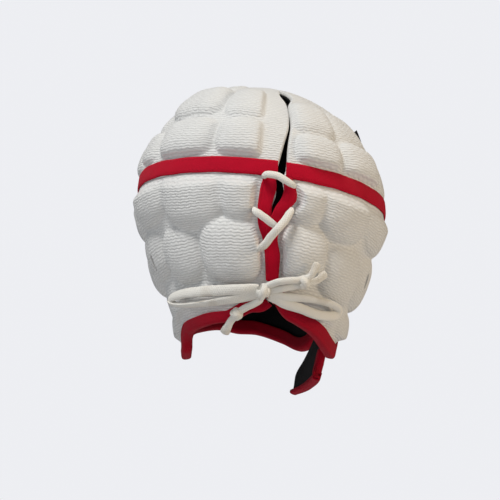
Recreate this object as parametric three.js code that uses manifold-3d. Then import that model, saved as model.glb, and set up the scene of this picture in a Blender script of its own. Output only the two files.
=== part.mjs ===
import * as THREE from 'three';
import Module from 'manifold-3d';

// Padded rugby scrum cap, laced at the back. Millimetres.
// +X is the wearer's right, +Y is the face side, +Z is up. The origin is where the crown rests on the head.

// Inner size of the cap
const innerWidth = 170;
const rearReach = 93;
const frontReach = 104;
const crownRise = 83;
const crownArc = 136;
const skirtDepth = 112;
const crownTaper = 1.02;
const crownLean = 5.5;
const wornTilt = 14;

// Layers, from the head outwards
const liningThickness = 1;
const seamGap = 0.3;
const channelThickness = 2.7;
const padRise = 8;

// Tape, binding and lace
const tapeWidth = 11;
const tapeThickness = 1.2;
const bindingWidth = 7.2;
const laceWidth = 4.8;
const knotWidth = 9.6;

// Ear vents and chin tab
const ventHeight = 15;
const ventWidth = 4.5;
const ventTurn = 80;
const ventDrop = 0.44;
const tabThickness = 3;
const tabBinding = 5;

// Clearances between pieces that lie on each other, in seam gaps
const underTape = 1.4;
const underBinding = 1.6;
const insideBinding = 2.2;
const belowHem = 1.8;
const overLeftTape = 3.2;
const overTab = 3.4;

// Mesh steps: round one half of the cap, down the side, up the crown
const turnSteps = 40;
const skirtSteps = 12;
const crownSteps = 8;
const laceSides = 8;
const laceStep = 1.6;
const placketSteps = 10;
const ventSides = 10;

const white = 0xe4e4e0;
const black = 0x0b0b0d;
const red = 0xb9042c;
const cream = 0xe9e4d8;

// Levels are distances along the cap from its widest ring: up is plus, down is minus
const seamUp = 0.053;
const crownCover = 0.96;
const placketDrop = 0.575;
const seamLevel = seamUp * crownArc;
const crownTop = crownCover * crownArc;
const tapeBottom = seamLevel - tapeWidth / 2;
const tapeTop = seamLevel + tapeWidth / 2;
const placketTop = tapeBottom - 2 * seamGap;
const placketBottom = -placketDrop * skirtDepth;
const panelInside = liningThickness + seamGap;
const channelTop = panelInside + channelThickness;

// The skirt narrows downwards: each row is one ring, as shares of the size at the widest ring
const skirtRings = [
  { down: 0, side: 1, rear: 1, front: 1, lean: 0 },
  { down: 0.22, side: 0.91, rear: 0.965, front: 0.985, lean: 0.01 },
  { down: 0.46, side: 0.79, rear: 0.9, front: 0.95, lean: 0.03 },
  { down: 0.76, side: 0.63, rear: 0.79, front: 0.9, lean: 0.07 },
  { down: 1, side: 0.56, rear: 0.74, front: 0.86, lean: 0.095 },
  { down: 1.25, side: 0.49, rear: 0.7, front: 0.82, lean: 0.1 },
  { down: 1.43, side: 0.44, rear: 0.67, front: 0.79, lean: 0.1 },
];

// Lower edge: how far it drops below the widest ring, going round from the back to the forehead
const hemRows = [
  { turn: 0, left: 0.67, right: 0.67 },
  { turn: 8, left: 0.735, right: 0.755 },
  { turn: 17, left: 0.752, right: 0.785 },
  { turn: 29, left: 0.806, right: 0.815 },
  { turn: 38, left: 0.817, right: 0.843 },
  { turn: 46, left: 0.824, right: 0.872 },
  { turn: 54, left: 0.835, right: 0.893 },
  { turn: 62, left: 0.846, right: 0.905 },
  { turn: 70, left: 0.858, right: 0.905 },
  { turn: 76, left: 0.87, right: 0.89 },
  { turn: 84, left: 0.91, right: 0.85 },
  { turn: 90, left: 0.965, right: 0.8 },
  { turn: 104, left: 0.985, right: 0.745 },
  { turn: 114, left: 0.93, right: 0.725 },
  { turn: 122, left: 0.83, right: 0.775 },
  { turn: 130, left: 0.785, right: 0.785 },
  { turn: 145, left: 0.73, right: 0.73 },
  { turn: 165, left: 0.675, right: 0.675 },
  { turn: 180, left: 0.68, right: 0.68 },
];

// Slit at the back: middle and half width in degrees, by level as a share of the crown arc
const slitRows = [
  { level: -0.6, middle: -3.4, half: 0.4 },
  { level: -0.48, middle: -2.4, half: 0.4 },
  { level: -0.17, middle: -4, half: 0.4 },
  { level: -0.125, middle: -2.9, half: 0.9 },
  { level: -0.08, middle: -0.9, half: 1.6 },
  { level: -0.04, middle: -0.9, half: 1.7 },
  { level: 0, middle: -1.6, half: 1.4 },
  { level: 0.06, middle: -0.8, half: 1.8 },
  { level: 0.2, middle: 1, half: 0.9 },
  { level: 0.33, middle: 3.5, half: 0.4 },
  { level: 0.5, middle: 4.3, half: 0.5 },
  { level: 0.6, middle: 5.6, half: 4.2 },
  { level: 0.68, middle: 5.9, half: 3.2 },
  { level: 0.76, middle: 5.6, half: 0.8 },
  { level: 1, middle: 0, half: 6 },
];

// Skirt pads: middle and half sizes, turn in degrees, drop as a share of the skirt depth
const leftSkirtPads = [
  { turn: 19.5, drop: 0.08, halfTurn: 8.2, halfDrop: 0.175, rise: 0.9 },
  { turn: 43, drop: 0.1, halfTurn: 17, halfDrop: 0.195, rise: 1 },
  { turn: 78, drop: 0.07, halfTurn: 18, halfDrop: 0.17, rise: 1 },
  { turn: 24, drop: 0.42, halfTurn: 16.5, halfDrop: 0.18, rise: 1.05 },
  { turn: 56, drop: 0.44, halfTurn: 13.5, halfDrop: 0.155, rise: 0.75 },
  { turn: 85, drop: 0.4, halfTurn: 15, halfDrop: 0.145, rise: 0.85 },
  { turn: 44, drop: 0.71, halfTurn: 20, halfDrop: 0.1, rise: 0.45 },
  { turn: 81, drop: 0.7, halfTurn: 15, halfDrop: 0.13, rise: 0.6 },
];
const rightSkirtPads = [
  { turn: 12, drop: 0.08, halfTurn: 8.5, halfDrop: 0.16, rise: 0.9 },
  { turn: 34, drop: 0.09, halfTurn: 15, halfDrop: 0.18, rise: 1.05 },
  { turn: 67, drop: 0.08, halfTurn: 17, halfDrop: 0.17, rise: 0.85 },
  { turn: 13, drop: 0.39, halfTurn: 12, halfDrop: 0.155, rise: 1 },
  { turn: 42, drop: 0.44, halfTurn: 16, halfDrop: 0.17, rise: 1 },
  { turn: 77, drop: 0.42, halfTurn: 16, halfDrop: 0.17, rise: 0.9 },
  { turn: 33, drop: 0.69, halfTurn: 18, halfDrop: 0.1, rise: 0.5 },
  { turn: 76, drop: 0.74, halfTurn: 18, halfDrop: 0.12, rise: 0.8 },
];
const frontSkirtPads = [
  { turn: 112, drop: 0.08, halfTurn: 13, halfDrop: 0.17, rise: 1 },
  { turn: 139, drop: 0.08, halfTurn: 13, halfDrop: 0.17, rise: 1 },
  { turn: 166, drop: 0.08, halfTurn: 12.5, halfDrop: 0.17, rise: 1 },
  { turn: 112, drop: 0.43, halfTurn: 12, halfDrop: 0.15, rise: 0.9 },
  { turn: 138, drop: 0.43, halfTurn: 13, halfDrop: 0.15, rise: 0.9 },
  { turn: 165, drop: 0.42, halfTurn: 13, halfDrop: 0.145, rise: 0.9 },
];

// Crown pads: the same, with the rise up the crown as a share of the crown arc
const leftCrownPads = [
  { turn: 20, up: 0.215, halfTurn: 11.5, halfUp: 0.11, rise: 0.85 },
  { turn: 49, up: 0.22, halfTurn: 16, halfUp: 0.115, rise: 0.9 },
  { turn: 20, up: 0.47, halfTurn: 12.5, halfUp: 0.135, rise: 0.7 },
  { turn: 53, up: 0.49, halfTurn: 19, halfUp: 0.14, rise: 0.95 },
  { turn: 80, up: 0.2, halfTurn: 12, halfUp: 0.1, rise: 0.6 },
  { turn: 60, up: 0.72, halfTurn: 24, halfUp: 0.08, rise: 0.25 },
];
const rightCrownPads = [
  { turn: 17, up: 0.185, halfTurn: 11.5, halfUp: 0.09, rise: 0.9 },
  { turn: 43, up: 0.19, halfTurn: 13.5, halfUp: 0.11, rise: 0.95 },
  { turn: 17, up: 0.4, halfTurn: 12, halfUp: 0.12, rise: 0.65 },
  { turn: 45, up: 0.42, halfTurn: 15, halfUp: 0.11, rise: 0.3 },
  { turn: 71, up: 0.2, halfTurn: 12, halfUp: 0.11, rise: 0.3 },
  { turn: 73, up: 0.44, halfTurn: 11, halfUp: 0.1, rise: 0.1 },
];
const frontCrownPads = [
  { turn: 110, up: 0.22, halfTurn: 16, halfUp: 0.115, rise: 0.9 },
  { turn: 152, up: 0.22, halfTurn: 24, halfUp: 0.115, rise: 0.9 },
  { turn: 112, up: 0.48, halfTurn: 18, halfUp: 0.135, rise: 0.8 },
  { turn: 154, up: 0.48, halfTurn: 22, halfUp: 0.135, rise: 0.8 },
];
// The two red tapes down the laced edges: edges in degrees, by share of the way down
const leftPlacket = [
  { way: 0, from: -8.6, to: -3.3 },
  { way: 0.1, from: -9.6, to: -2.7 },
  { way: 0.2, from: -10.1, to: -3.5 },
  { way: 0.28, from: -10.4, to: -4 },
  { way: 0.39, from: -10, to: -3.6 },
  { way: 0.5, from: -8.9, to: -2.6 },
  { way: 0.6, from: -7, to: -1.1 },
  { way: 0.75, from: -6, to: 0.5 },
  { way: 1, from: -5.7, to: 0.9 },
];
const rightPlacket = [
  { way: 0, from: -0.5, to: 3.3 },
  { way: 0.06, from: 0.1, to: 4.9 },
  { way: 0.13, from: 1.3, to: 6.1 },
  { way: 0.2, from: 0.8, to: 6.1 },
  { way: 0.28, from: -1.7, to: 3.9 },
  { way: 0.36, from: -3.9, to: 2.1 },
  { way: 0.5, from: -6.1, to: 0.3 },
  { way: 0.6, from: -6, to: -0.4 },
  { way: 0.75, from: -5.7, to: 1 },
  { way: 1, from: -5.4, to: 0.8 },
];

// Chin tab: its back and front edges in degrees and its drop, from inside the hem to the free end
const chinTab = [
  { way: 0, back: 82, front: 106, drop: 0.74, slope: 0.02 },
  { way: 0.35, back: 82, front: 112, drop: 0.86, slope: 0.01 },
  { way: 0.7, back: 83, front: 121, drop: 0.975, slope: 0.02 },
  { way: 1, back: 76, front: 119, drop: 1.06, slope: 0.06 },
];

// Laces: rows follow the cap as turn, drop as a share of the skirt depth, lift as a share of the pad height
const laceRoutes = {
  lacing_bar_top: [
    { turn: -8.4, drop: -0.004, lift: 0.8 },
    { turn: -7.4, drop: -0.012, lift: 0.85 },
    { turn: -5.5, drop: -0.012, lift: 0.9 },
    { turn: -3, drop: -0.008, lift: 0.93 },
    { turn: -0.5, drop: 0, lift: 0.93 },
    { turn: 2, drop: 0.009, lift: 0.9 },
    { turn: 4, drop: 0.022, lift: 0.87 },
  ],
  lacing_cross_under: [
    { turn: -11.8, drop: 0.184, lift: 0.92 },
    { turn: -10.4, drop: 0.2, lift: 0.92 },
    { turn: -8.5, drop: 0.214, lift: 0.96 },
    { turn: -6, drop: 0.234, lift: 0.93 },
    { turn: -3.5, drop: 0.254, lift: 0.86 },
  ],
  lacing_cross_over: [
    { turn: 4.6, drop: 0.156, lift: 0.8 },
    { turn: 3.2, drop: 0.188, lift: 0.94 },
    { turn: 1.2, drop: 0.232, lift: 1.1 },
    { turn: -1.5, drop: 0.281, lift: 1.25 },
    { turn: -4, drop: 0.326, lift: 1.15 },
    { turn: -6.2, drop: 0.371, lift: 1.03 },
    { turn: -9, drop: 0.4, lift: 0.9 },
  ],
  bow_loop_left: [
    { turn: -11.5, drop: 0.616, lift: 1.21 },
    { turn: -18, drop: 0.621, lift: 1.33 },
    { turn: -27.5, drop: 0.629, lift: 1.33 },
    { turn: -39, drop: 0.634, lift: 1.25 },
    { turn: -51.5, drop: 0.638, lift: 1.2 },
    { turn: -62.5, drop: 0.643, lift: 1.17 },
    { turn: -69, drop: 0.66, lift: 1.17 },
    { turn: -65.5, drop: 0.688, lift: 1.18 },
    { turn: -52, drop: 0.71, lift: 1.21 },
    { turn: -39.5, drop: 0.71, lift: 1.25 },
    { turn: -27, drop: 0.696, lift: 1.25 },
    { turn: -19, drop: 0.683, lift: 1.17 },
    { turn: -12.5, drop: 0.665, lift: 1.08 },
  ],
  bow_loop_right: [
    { turn: -1, drop: 0.655, lift: 0.84 },
    { turn: 5.5, drop: 0.647, lift: 1.05 },
    { turn: 13.5, drop: 0.634, lift: 1.08 },
    { turn: 23, drop: 0.625, lift: 1.08 },
    { turn: 32, drop: 0.621, lift: 1.08 },
    { turn: 38.5, drop: 0.629, lift: 1.08 },
    { turn: 39, drop: 0.67, lift: 1.08 },
    { turn: 33, drop: 0.705, lift: 1.08 },
    { turn: 23, drop: 0.723, lift: 1.05 },
    { turn: 13.5, drop: 0.705, lift: 0.97 },
    { turn: 5.5, drop: 0.705, lift: 0.9 },
    { turn: 0, drop: 0.705, lift: 0.87 },
  ],
  bow_tail_upper: [
    { turn: -3, drop: 0.575, lift: 1.15 },
    { turn: 0.5, drop: 0.549, lift: 1.46 },
    { turn: 5, drop: 0.536, lift: 1.48 },
    { turn: 8.5, drop: 0.531, lift: 1.46 },
  ],
  bow_tail_lower: [
    { turn: -2, drop: 0.622, lift: 0.98 },
    { turn: 2, drop: 0.603, lift: 1.27 },
    { turn: 6, drop: 0.585, lift: 1.27 },
    { turn: 8.3, drop: 0.575, lift: 1.27 },
  ],
  bow_tip_upper: [
    { turn: 13.5, drop: 0.513, lift: 1.55 },
    { turn: 15, drop: 0.482, lift: 1.57 },
    { turn: 16, drop: 0.451, lift: 1.57 },
    { turn: 17, drop: 0.42, lift: 1.55 },
  ],
  bow_tip_lower: [
    { turn: 16.5, drop: 0.54, lift: 1.27 },
    { turn: 19.5, drop: 0.518, lift: 1.28 },
    { turn: 21.5, drop: 0.491, lift: 1.28 },
    { turn: 24, drop: 0.469, lift: 1.27 },
  ],
  end_tail: [
    { turn: -9, drop: 0.688, lift: 0.92 },
    { turn: -12.5, drop: 0.71, lift: 0.88 },
    { turn: -16.5, drop: 0.732, lift: 0.87 },
    { turn: -19.3, drop: 0.75, lift: 0.87 },
  ],
  end_tip: [
    { turn: -26.5, drop: 0.821, lift: 0.87 },
    { turn: -29, drop: 0.862, lift: 0.87 },
    { turn: -32, drop: 0.902, lift: 0.87 },
  ],
};
const knotPlaces = {
  bow_knot: { turn: -7, drop: 0.625, lift: 0.86, wide: 1.1, high: 1.15 },
  tail_knot: { turn: 12, drop: 0.549, lift: 1.37, wide: 0.95, high: 0.95 },
  end_knot: { turn: -23, drop: 0.781, lift: 0.88, wide: 0.9, high: 0.9 },
};
const laceKnots = {
  bow_loop_left: { from: 'bow_knot', to: 'bow_knot' },
  bow_loop_right: { from: 'bow_knot', to: 'bow_knot' },
  bow_tail_upper: { from: 'bow_knot', to: 'tail_knot' },
  bow_tail_lower: { from: 'bow_knot', to: 'tail_knot' },
  bow_tip_upper: { from: 'tail_knot' },
  bow_tip_lower: { from: 'tail_knot' },
  end_tail: { from: 'bow_knot', to: 'end_knot' },
  end_tip: { from: 'end_knot' },
};
const knotSqueeze = 0.3;
const knotGap = 0.75;
const padSquareness = 3.2;
const crownSplit = 0.5;
const seamShare = 0.7;
const splitWidth = 3.4;
const normalStep = innerWidth / 340;
const flangeMargin = 0.8;
const turnCrowding = 1.12;
const bandMargin = 1;

const radians = (degrees) => (degrees * Math.PI) / 180;
const clampShare = (value) => Math.min(1, Math.max(0, value));

// Smooth value of one column of a table at a place along another column
function along(rows, key, column, place) {
  const last = rows.length - 2;
  let i = 0;
  while (i < last && place >= rows[i + 1][key]) i += 1;
  const slope = (k) => {
    const before = rows[Math.max(0, k - 1)];
    const after = rows[Math.min(rows.length - 1, k + 1)];
    return (after[column] - before[column]) / (after[key] - before[key]);
  };
  const span = rows[i + 1][key] - rows[i][key];
  const u = clampShare((place - rows[i][key]) / span);
  const u2 = u * u;
  const u3 = u2 * u;
  return (2 * u3 - 3 * u2 + 1) * rows[i][column]
    + (u3 - 2 * u2 + u) * span * slope(i)
    + (3 * u2 - 2 * u3) * rows[i + 1][column]
    + (u3 - u2) * span * slope(i + 1);
}

// A point of the inner surface: turn goes round from the back, plus to the wearer's right
function innerPoint(turn, level) {
  const angle = radians(turn);
  const climb = clampShare(level / crownArc) * Math.PI / 2;
  const ring = { side: 1, rear: 1, front: 1, lean: 0 };
  for (const column of Object.keys(ring)) {
    if (level > 0) ring[column] *= Math.cos(climb) ** crownTaper;
    else ring[column] = along(skirtRings, 'down', column, -level / skirtDepth);
  }
  const reach = Math.cos(angle) >= 0 ? rearReach * ring.rear : frontReach * ring.front;
  return new THREE.Vector3(
    innerWidth / 2 * ring.side * Math.sin(angle) + skirtDepth * ring.lean - crownLean * Math.sin(climb),
    -reach * Math.cos(angle),
    level > 0 ? crownRise * (Math.sin(climb) - 1) : level - crownRise,
  );
}

// A point at a height above the inner surface, measured square to it
function capPoint(turn, level, height) {
  const step = normalStep;
  const top = Math.min(level, crownArc - 2 * step);
  const across = innerPoint(turn + step, top).sub(innerPoint(turn - step, top));
  const up = innerPoint(turn, top + step).sub(innerPoint(turn, top - step));
  return innerPoint(turn, level).addScaledVector(across.cross(up).normalize(), height);
}

// How far a pad lifts the outer surface: a rounded square cushion with steep sides
function cushion(pads, turn, place, placeKey, halfKey) {
  let lift = 0;
  for (const pad of pads) {
    const a = Math.abs(turn - pad.turn) / pad.halfTurn;
    const b = Math.abs(place - pad[placeKey]) / pad[halfKey];
    const edge = (a ** padSquareness + b ** padSquareness) ** (1 / padSquareness);
    if (edge < 1) lift = Math.max(lift, pad.rise * Math.sqrt(1 - edge ** 3));
  }
  return padRise * lift;
}

// A closed skin from two grids over the same patch: the inner grid takes every second row and column
function skin(columns, rows, outerAt, innerAt, innerStep) {
  const places = [];
  const faces = [];
  const add = (point) => places.push(point) - 1;
  const outer = [];
  const inner = [];
  for (let i = 0; i <= columns; i += 1) {
    outer.push([]);
    for (let j = 0; j <= rows; j += 1) outer[i].push(add(outerAt(i / columns, j / rows)));
  }
  for (let i = 0; i <= columns; i += innerStep) {
    inner.push([]);
    for (let j = 0; j <= rows; j += innerStep) {
      inner[i / innerStep].push(add(innerAt(i / columns, j / rows)));
    }
  }
  for (let i = 0; i < columns; i += 1) {
    for (let j = 0; j < rows; j += 1) {
      faces.push(outer[i][j], outer[i + 1][j], outer[i + 1][j + 1]);
      faces.push(outer[i][j], outer[i + 1][j + 1], outer[i][j + 1]);
    }
  }
  for (let i = 0; i < inner.length - 1; i += 1) {
    for (let j = 0; j < inner[i].length - 1; j += 1) {
      faces.push(inner[i][j], inner[i + 1][j + 1], inner[i + 1][j]);
      faces.push(inner[i][j], inner[i][j + 1], inner[i + 1][j + 1]);
    }
  }
  const rim = (fine, coarse) => {
    for (let k = 0; k < coarse.length - 1; k += 1) {
      const first = k * innerStep;
      for (let m = 0; m < innerStep; m += 1) {
        const near = m === 0 ? coarse[k] : coarse[k + 1];
        faces.push(fine[first + m + 1], fine[first + m], near);
        if (m === 0) faces.push(coarse[k], coarse[k + 1], fine[first + 1]);
      }
    }
  };
  const lastColumn = inner.length - 1;
  const lastRow = inner[0].length - 1;
  rim(outer.map((line) => line[0]), inner.map((line) => line[0]));
  rim(outer.map((line) => line[rows]).reverse(), inner.map((line) => line[lastRow]).reverse());
  rim(outer[0].slice().reverse(), inner[0].slice().reverse());
  rim(outer[columns], inner[lastColumn]);
  return solid(places, faces);
}

function solid(places, faces) {
  const geometry = new THREE.BufferGeometry().setFromPoints(places);
  geometry.setIndex(faces);
  return geometry;
}

// Signed volume, to turn a closed skin the right way out
function facingOut(geometry) {
  const place = geometry.attributes.position;
  const index = geometry.index;
  const [a, b, c] = [new THREE.Vector3(), new THREE.Vector3(), new THREE.Vector3()];
  let volume = 0;
  for (let i = 0; i < index.count; i += 3) {
    a.fromBufferAttribute(place, index.getX(i));
    b.fromBufferAttribute(place, index.getX(i + 1));
    c.fromBufferAttribute(place, index.getX(i + 2));
    volume += a.dot(b.cross(c));
  }
  if (volume < 0) index.array.reverse();
  return geometry;
}

// Degrees that open a share of a seam gap on the ring at a level
function seamTurn(level) {
  const climb = clampShare(level / crownArc) * Math.PI / 2;
  return seamGap * seamShare / radians(innerWidth / 2 * Math.cos(climb));
}

// Outer edge of the flat flange beside the slit, where the placket tape lies
function flangeTurn(side, level) {
  const way = clampShare((placketTop - level) / (placketTop - placketBottom));
  const edge = along(side < 0 ? leftPlacket : rightPlacket, 'way', side < 0 ? 'from' : 'to', way);
  return side * edge + flangeMargin;
}

// Round one half of the cap from the slit to the forehead seam, closer steps at the back
function halfTurn(side, share, level) {
  const start = side * along(slitRows, 'level', 'middle', level / crownArc)
    + along(slitRows, 'level', 'half', level / crownArc);
  const flange = Math.max(flangeTurn(side, level), start + flangeMargin);
  const flangeShare = 2 / turnSteps;
  if (share <= flangeShare) return side * (start + (flange - start) * share / flangeShare);
  const rest = ((share - flangeShare) / (1 - flangeShare)) ** turnCrowding;
  return side * (flange + (180 - seamTurn(level) - flange) * rest);
}

// Rows down one column: a flat row along each edge, even rows between
function rowLevel(share, low, high, lowBand, highBand, steps) {
  const edge = 1 / steps;
  if (share <= edge) return low + lowBand * share / edge;
  const topEdge = highBand > 0 ? edge : 0;
  if (share > 1 - topEdge) return high - highBand * (1 - share) / edge;
  const rest = (share - edge) / (1 - edge - topEdge);
  return low + lowBand + (high - highBand - low - lowBand) * rest;
}

const hemLevel = (turn) => -skirtDepth * along(hemRows, 'turn', turn < 0 ? 'left' : 'right', Math.abs(turn));

// A place on one half of the skirt. Odd columns lie halfway between their neighbours, so that
// the coarser inner grid has the same edges.
function skirtPlace(side, u, v) {
  const column = Math.round(u * turnSteps);
  if (column % 2 === 1) {
    const before = skirtPlace(side, (column - 1) / turnSteps, v);
    const after = skirtPlace(side, (column + 1) / turnSteps, v);
    return { turn: (before.turn + after.turn) / 2, level: (before.level + after.level) / 2 };
  }
  let level = seamLevel;
  let turn = side * u * 180;
  for (let pass = 0; pass < 6; pass += 1) {
    level = rowLevel(v, hemLevel(turn), seamLevel, bindingWidth + bandMargin,
      tapeWidth / 2 + bandMargin, skirtSteps);
    turn = halfTurn(side, u, level);
  }
  return { turn, level };
}

// A place on one crown piece: the back pieces end where the front ones begin
function crownPlace(side, u, v, front) {
  const level = rowLevel(v, seamLevel + 2 * seamGap, crownTop, tapeWidth / 2 + bandMargin, 0, crownSteps);
  const split = crownSplit + (front ? 1 : -1) * splitWidth * seamTurn(level) / 180;
  const share = front ? split + (1 - split) * u : split * u;
  return { turn: halfTurn(side, share, level), level };
}

// Easing to the flat channel near the edges that carry tape, binding or the slit
const fadeIn = (distance, width) => {
  const share = clampShare(distance / width);
  return share * share * (3 - 2 * share);
};

// Millimetres outwards from the flat flange beside the slit
function placketClearance(turn, level, side) {
  return radians(side * turn - flangeTurn(side, level)) * innerWidth / 2;
}

function sidePanel(side) {
  const pads = (side < 0 ? leftSkirtPads : rightSkirtPads).concat(frontSkirtPads);
  const at = (height) => (u, v) => {
    const { turn, level } = skirtPlace(side, u, v);
    return capPoint(turn, level, height(turn, level));
  };
  const outside = (turn, level) => {
    const lift = cushion(pads, side * turn, -level / skirtDepth, 'drop', 'halfDrop');
    const clearOfHem = fadeIn(level - hemLevel(turn) - bindingWidth - bandMargin, padRise);
    const clearOfTape = fadeIn(tapeBottom - bandMargin - level, tapeWidth / 4);
    const clearOfPlacket = fadeIn(placketClearance(turn, level, side), padRise / 2);
    return channelTop + lift * clearOfHem * clearOfTape * clearOfPlacket;
  };
  return skin(turnSteps, skirtSteps, at(outside), at(() => panelInside), 2);
}

function sideLining(side) {
  const at = (height) => (u, v) => {
    const { turn, level } = skirtPlace(side, u, v);
    return capPoint(turn, level, height);
  };
  return skin(turnSteps / 2, skirtSteps / 2, at(liningThickness), at(0), 1);
}

function crownPanel(side, front) {
  const pads = front ? frontCrownPads : side < 0 ? leftCrownPads : rightCrownPads;
  const at = (height) => (u, v) => {
    const { turn, level } = crownPlace(side, u, v, front);
    return capPoint(turn, level, height(turn, level));
  };
  const outside = (turn, level) => {
    const lift = cushion(pads, side * turn, level / crownArc, 'up', 'halfUp');
    const clearOfTape = fadeIn(level - tapeTop - bandMargin - 2 * seamGap, tapeWidth / 4);
    return channelTop + lift * clearOfTape * fadeIn(placketClearance(turn, level, side), padRise / 2);
  };
  return skin(turnSteps / 2, crownSteps, at(outside), at(() => panelInside), 2);
}

function crownLining(side, front) {
  const at = (height) => (u, v) => {
    const { turn, level } = crownPlace(side, u, v, front);
    return capPoint(turn, level, height);
  };
  return skin(turnSteps / 4, crownSteps / 2, at(liningThickness), at(0), 1);
}

// A strip with the section in section(u), a ring of points, carried along the steps
function strip(steps, section) {
  const places = [];
  const faces = [];
  let sides = 0;
  for (let i = 0; i <= steps; i += 1) {
    const ring = section(i / steps);
    sides = ring.length;
    places.push(...ring);
  }
  const outline = places.slice(0, sides);
  const flat = sectionTriangles(outline);
  for (const [a, b, c] of flat) {
    faces.push(a, b, c);
    const end = steps * sides;
    faces.push(end + a, end + c, end + b);
  }
  for (let i = 0; i < steps; i += 1) {
    for (let k = 0; k < sides; k += 1) {
      const a = i * sides + k;
      const b = i * sides + (k + 1) % sides;
      faces.push(a, a + sides, b + sides);
      faces.push(a, b + sides, b);
    }
  }
  return solid(places, faces);
}

// Triangles that close a flat ring of points
function sectionTriangles(outline) {
  const origin = outline[0];
  const normal = new THREE.Vector3();
  for (let k = 0; k < outline.length; k += 1) {
    const a = outline[k].clone().sub(origin);
    const b = outline[(k + 1) % outline.length].clone().sub(origin);
    normal.add(a.cross(b));
  }
  normal.normalize();
  const across = outline[1].clone().sub(origin).normalize();
  const up = normal.clone().cross(across);
  const flat = outline.map((point) => {
    const arm = point.clone().sub(origin);
    return new THREE.Vector2(arm.dot(across), arm.dot(up));
  });
  return THREE.ShapeUtils.triangulateShape(flat, []);
}

// Flat red tape over the seam between crown and skirt
function crownTape(side) {
  const low = channelTop + underTape * seamGap;
  const high = low + tapeThickness;
  return strip(turnSteps, (u) => {
    const turn = halfTurn(side, u, seamLevel);
    return [
      capPoint(turn, tapeBottom, low),
      capPoint(turn, tapeBottom, high),
      capPoint(turn, seamLevel, high),
      capPoint(turn, tapeTop, high),
      capPoint(turn, tapeTop, low),
      capPoint(turn, seamLevel, low),
    ];
  });
}

// Red binding folded round the lower edge
function hemBinding(side) {
  const under = insideBinding * seamGap;
  const outside = channelTop + underBinding * seamGap;
  return strip(turnSteps, (u) => {
    const { turn, level } = skirtPlace(side, u, 0);
    const top = level + bindingWidth;
    const edge = level - belowHem * seamGap;
    const fold = edge - tapeThickness;
    return [
      capPoint(turn, top, outside),
      capPoint(turn, top, outside + tapeThickness),
      capPoint(turn, fold, outside + tapeThickness),
      capPoint(turn, fold, -under - tapeThickness),
      capPoint(turn, top, -under - tapeThickness),
      capPoint(turn, top, -under),
      capPoint(turn, edge, -under),
      capPoint(turn, edge, outside),
    ];
  });
}

function placketTape(rows, height) {
  return strip(placketSteps, (u) => {
    const level = placketTop + (placketBottom - placketTop) * u;
    const from = along(rows, 'way', 'from', u);
    const to = along(rows, 'way', 'to', u);
    const low = channelTop + height;
    return [
      capPoint(from, level, low),
      capPoint(from, level, low + tapeThickness),
      capPoint(to, level, low + tapeThickness),
      capPoint(to, level, low),
    ];
  });
}

// Slot in the ear pad
function ventCutter(side) {
  const middle = { turn: side * ventTurn, level: -ventDrop * skirtDepth };
  const reach = padRise + channelThickness;
  const ring = (height) => {
    const points = [];
    for (let k = 0; k < ventSides; k += 1) {
      const angle = (k / ventSides) * 2 * Math.PI;
      const turn = middle.turn + Math.cos(angle) * (ventWidth / innerWidth) * (180 / Math.PI);
      const level = middle.level + Math.sin(angle) * ventHeight / 2;
      points.push(capPoint(turn, level, height));
    }
    return points;
  };
  return strip(1, (u) => ring(u * 2 * reach - reach / 4));
}

const wasm = await Module();
wasm.setup();

function toManifold(geometry) {
  const mesh = new wasm.Mesh({
    numProp: 3,
    vertProperties: Float32Array.from(geometry.attributes.position.array),
    triVerts: Uint32Array.from(geometry.index.array),
  });
  mesh.merge();
  return new wasm.Manifold(mesh);
}

function fromManifold(body) {
  const mesh = body.getMesh();
  const geometry = new THREE.BufferGeometry();
  const places = new Float32Array(mesh.numVert * 3);
  for (let i = 0; i < mesh.numVert; i += 1) {
    for (let k = 0; k < 3; k += 1) places[i * 3 + k] = mesh.vertProperties[i * mesh.numProp + k];
  }
  geometry.setAttribute('position', new THREE.BufferAttribute(places, 3));
  geometry.setIndex(Array.from(mesh.triVerts));
  return geometry;
}

function cut(body, tool) {
  return fromManifold(toManifold(facingOut(body)).subtract(toManifold(facingOut(tool))));
}

// A place on a route, as a point
function routePoint({ turn, drop, lift }) {
  return capPoint(turn, -drop * skirtDepth, lift * (channelTop + padRise));
}

const knotDepth = 0.9;

// Where a lace leaves a knot, a small gap out from its surface
function knotExit(place, towards) {
  const middle = routePoint(place);
  const arm = towards.clone().sub(middle).normalize();
  const depth = Math.hypot(arm.x / place.wide, arm.y / knotDepth, arm.z / place.high);
  return middle.addScaledVector(arm, knotWidth / 2 / depth + knotGap);
}

// A round lace along its route, with closed ends, squeezed thinner where it enters a knot
function lace(name) {
  const stops = laceRoutes[name].map(routePoint);
  const { from, to } = laceKnots[name] ?? {};
  if (from) stops[0] = knotExit(knotPlaces[from], stops[0]);
  if (to) stops[stops.length - 1] = knotExit(knotPlaces[to], stops[stops.length - 1]);
  const curve = new THREE.CatmullRomCurve3(stops);
  const length = curve.getLength();
  const steps = Math.max(4, Math.round(length / (laceStep * laceWidth)));
  const frames = curve.computeFrenetFrames(steps, false);
  const squeeze = (distance) => 1 - knotSqueeze * (1 - fadeIn(distance, 2 * laceWidth));
  return strip(steps, (u) => {
    const middle = curve.getPointAt(u);
    const frame = Math.round(u * steps);
    let radius = laceWidth / 2;
    if (from) radius *= squeeze(u * length);
    if (to) radius *= squeeze((1 - u) * length);
    const points = [];
    for (let k = 0; k < laceSides; k += 1) {
      const angle = (k / laceSides) * 2 * Math.PI;
      points.push(middle.clone()
        .addScaledVector(frames.normals[frame], Math.cos(angle) * radius)
        .addScaledVector(frames.binormals[frame], Math.sin(angle) * radius));
    }
    return points;
  });
}

// A knot, pulled tight to a lump
function knot(place) {
  const geometry = new THREE.SphereGeometry(knotWidth / 2, laceSides, laceSides - 2);
  geometry.scale(place.wide, knotDepth, place.high);
  const middle = routePoint(place);
  return geometry.translate(middle.x, middle.y, middle.z);
}

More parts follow.
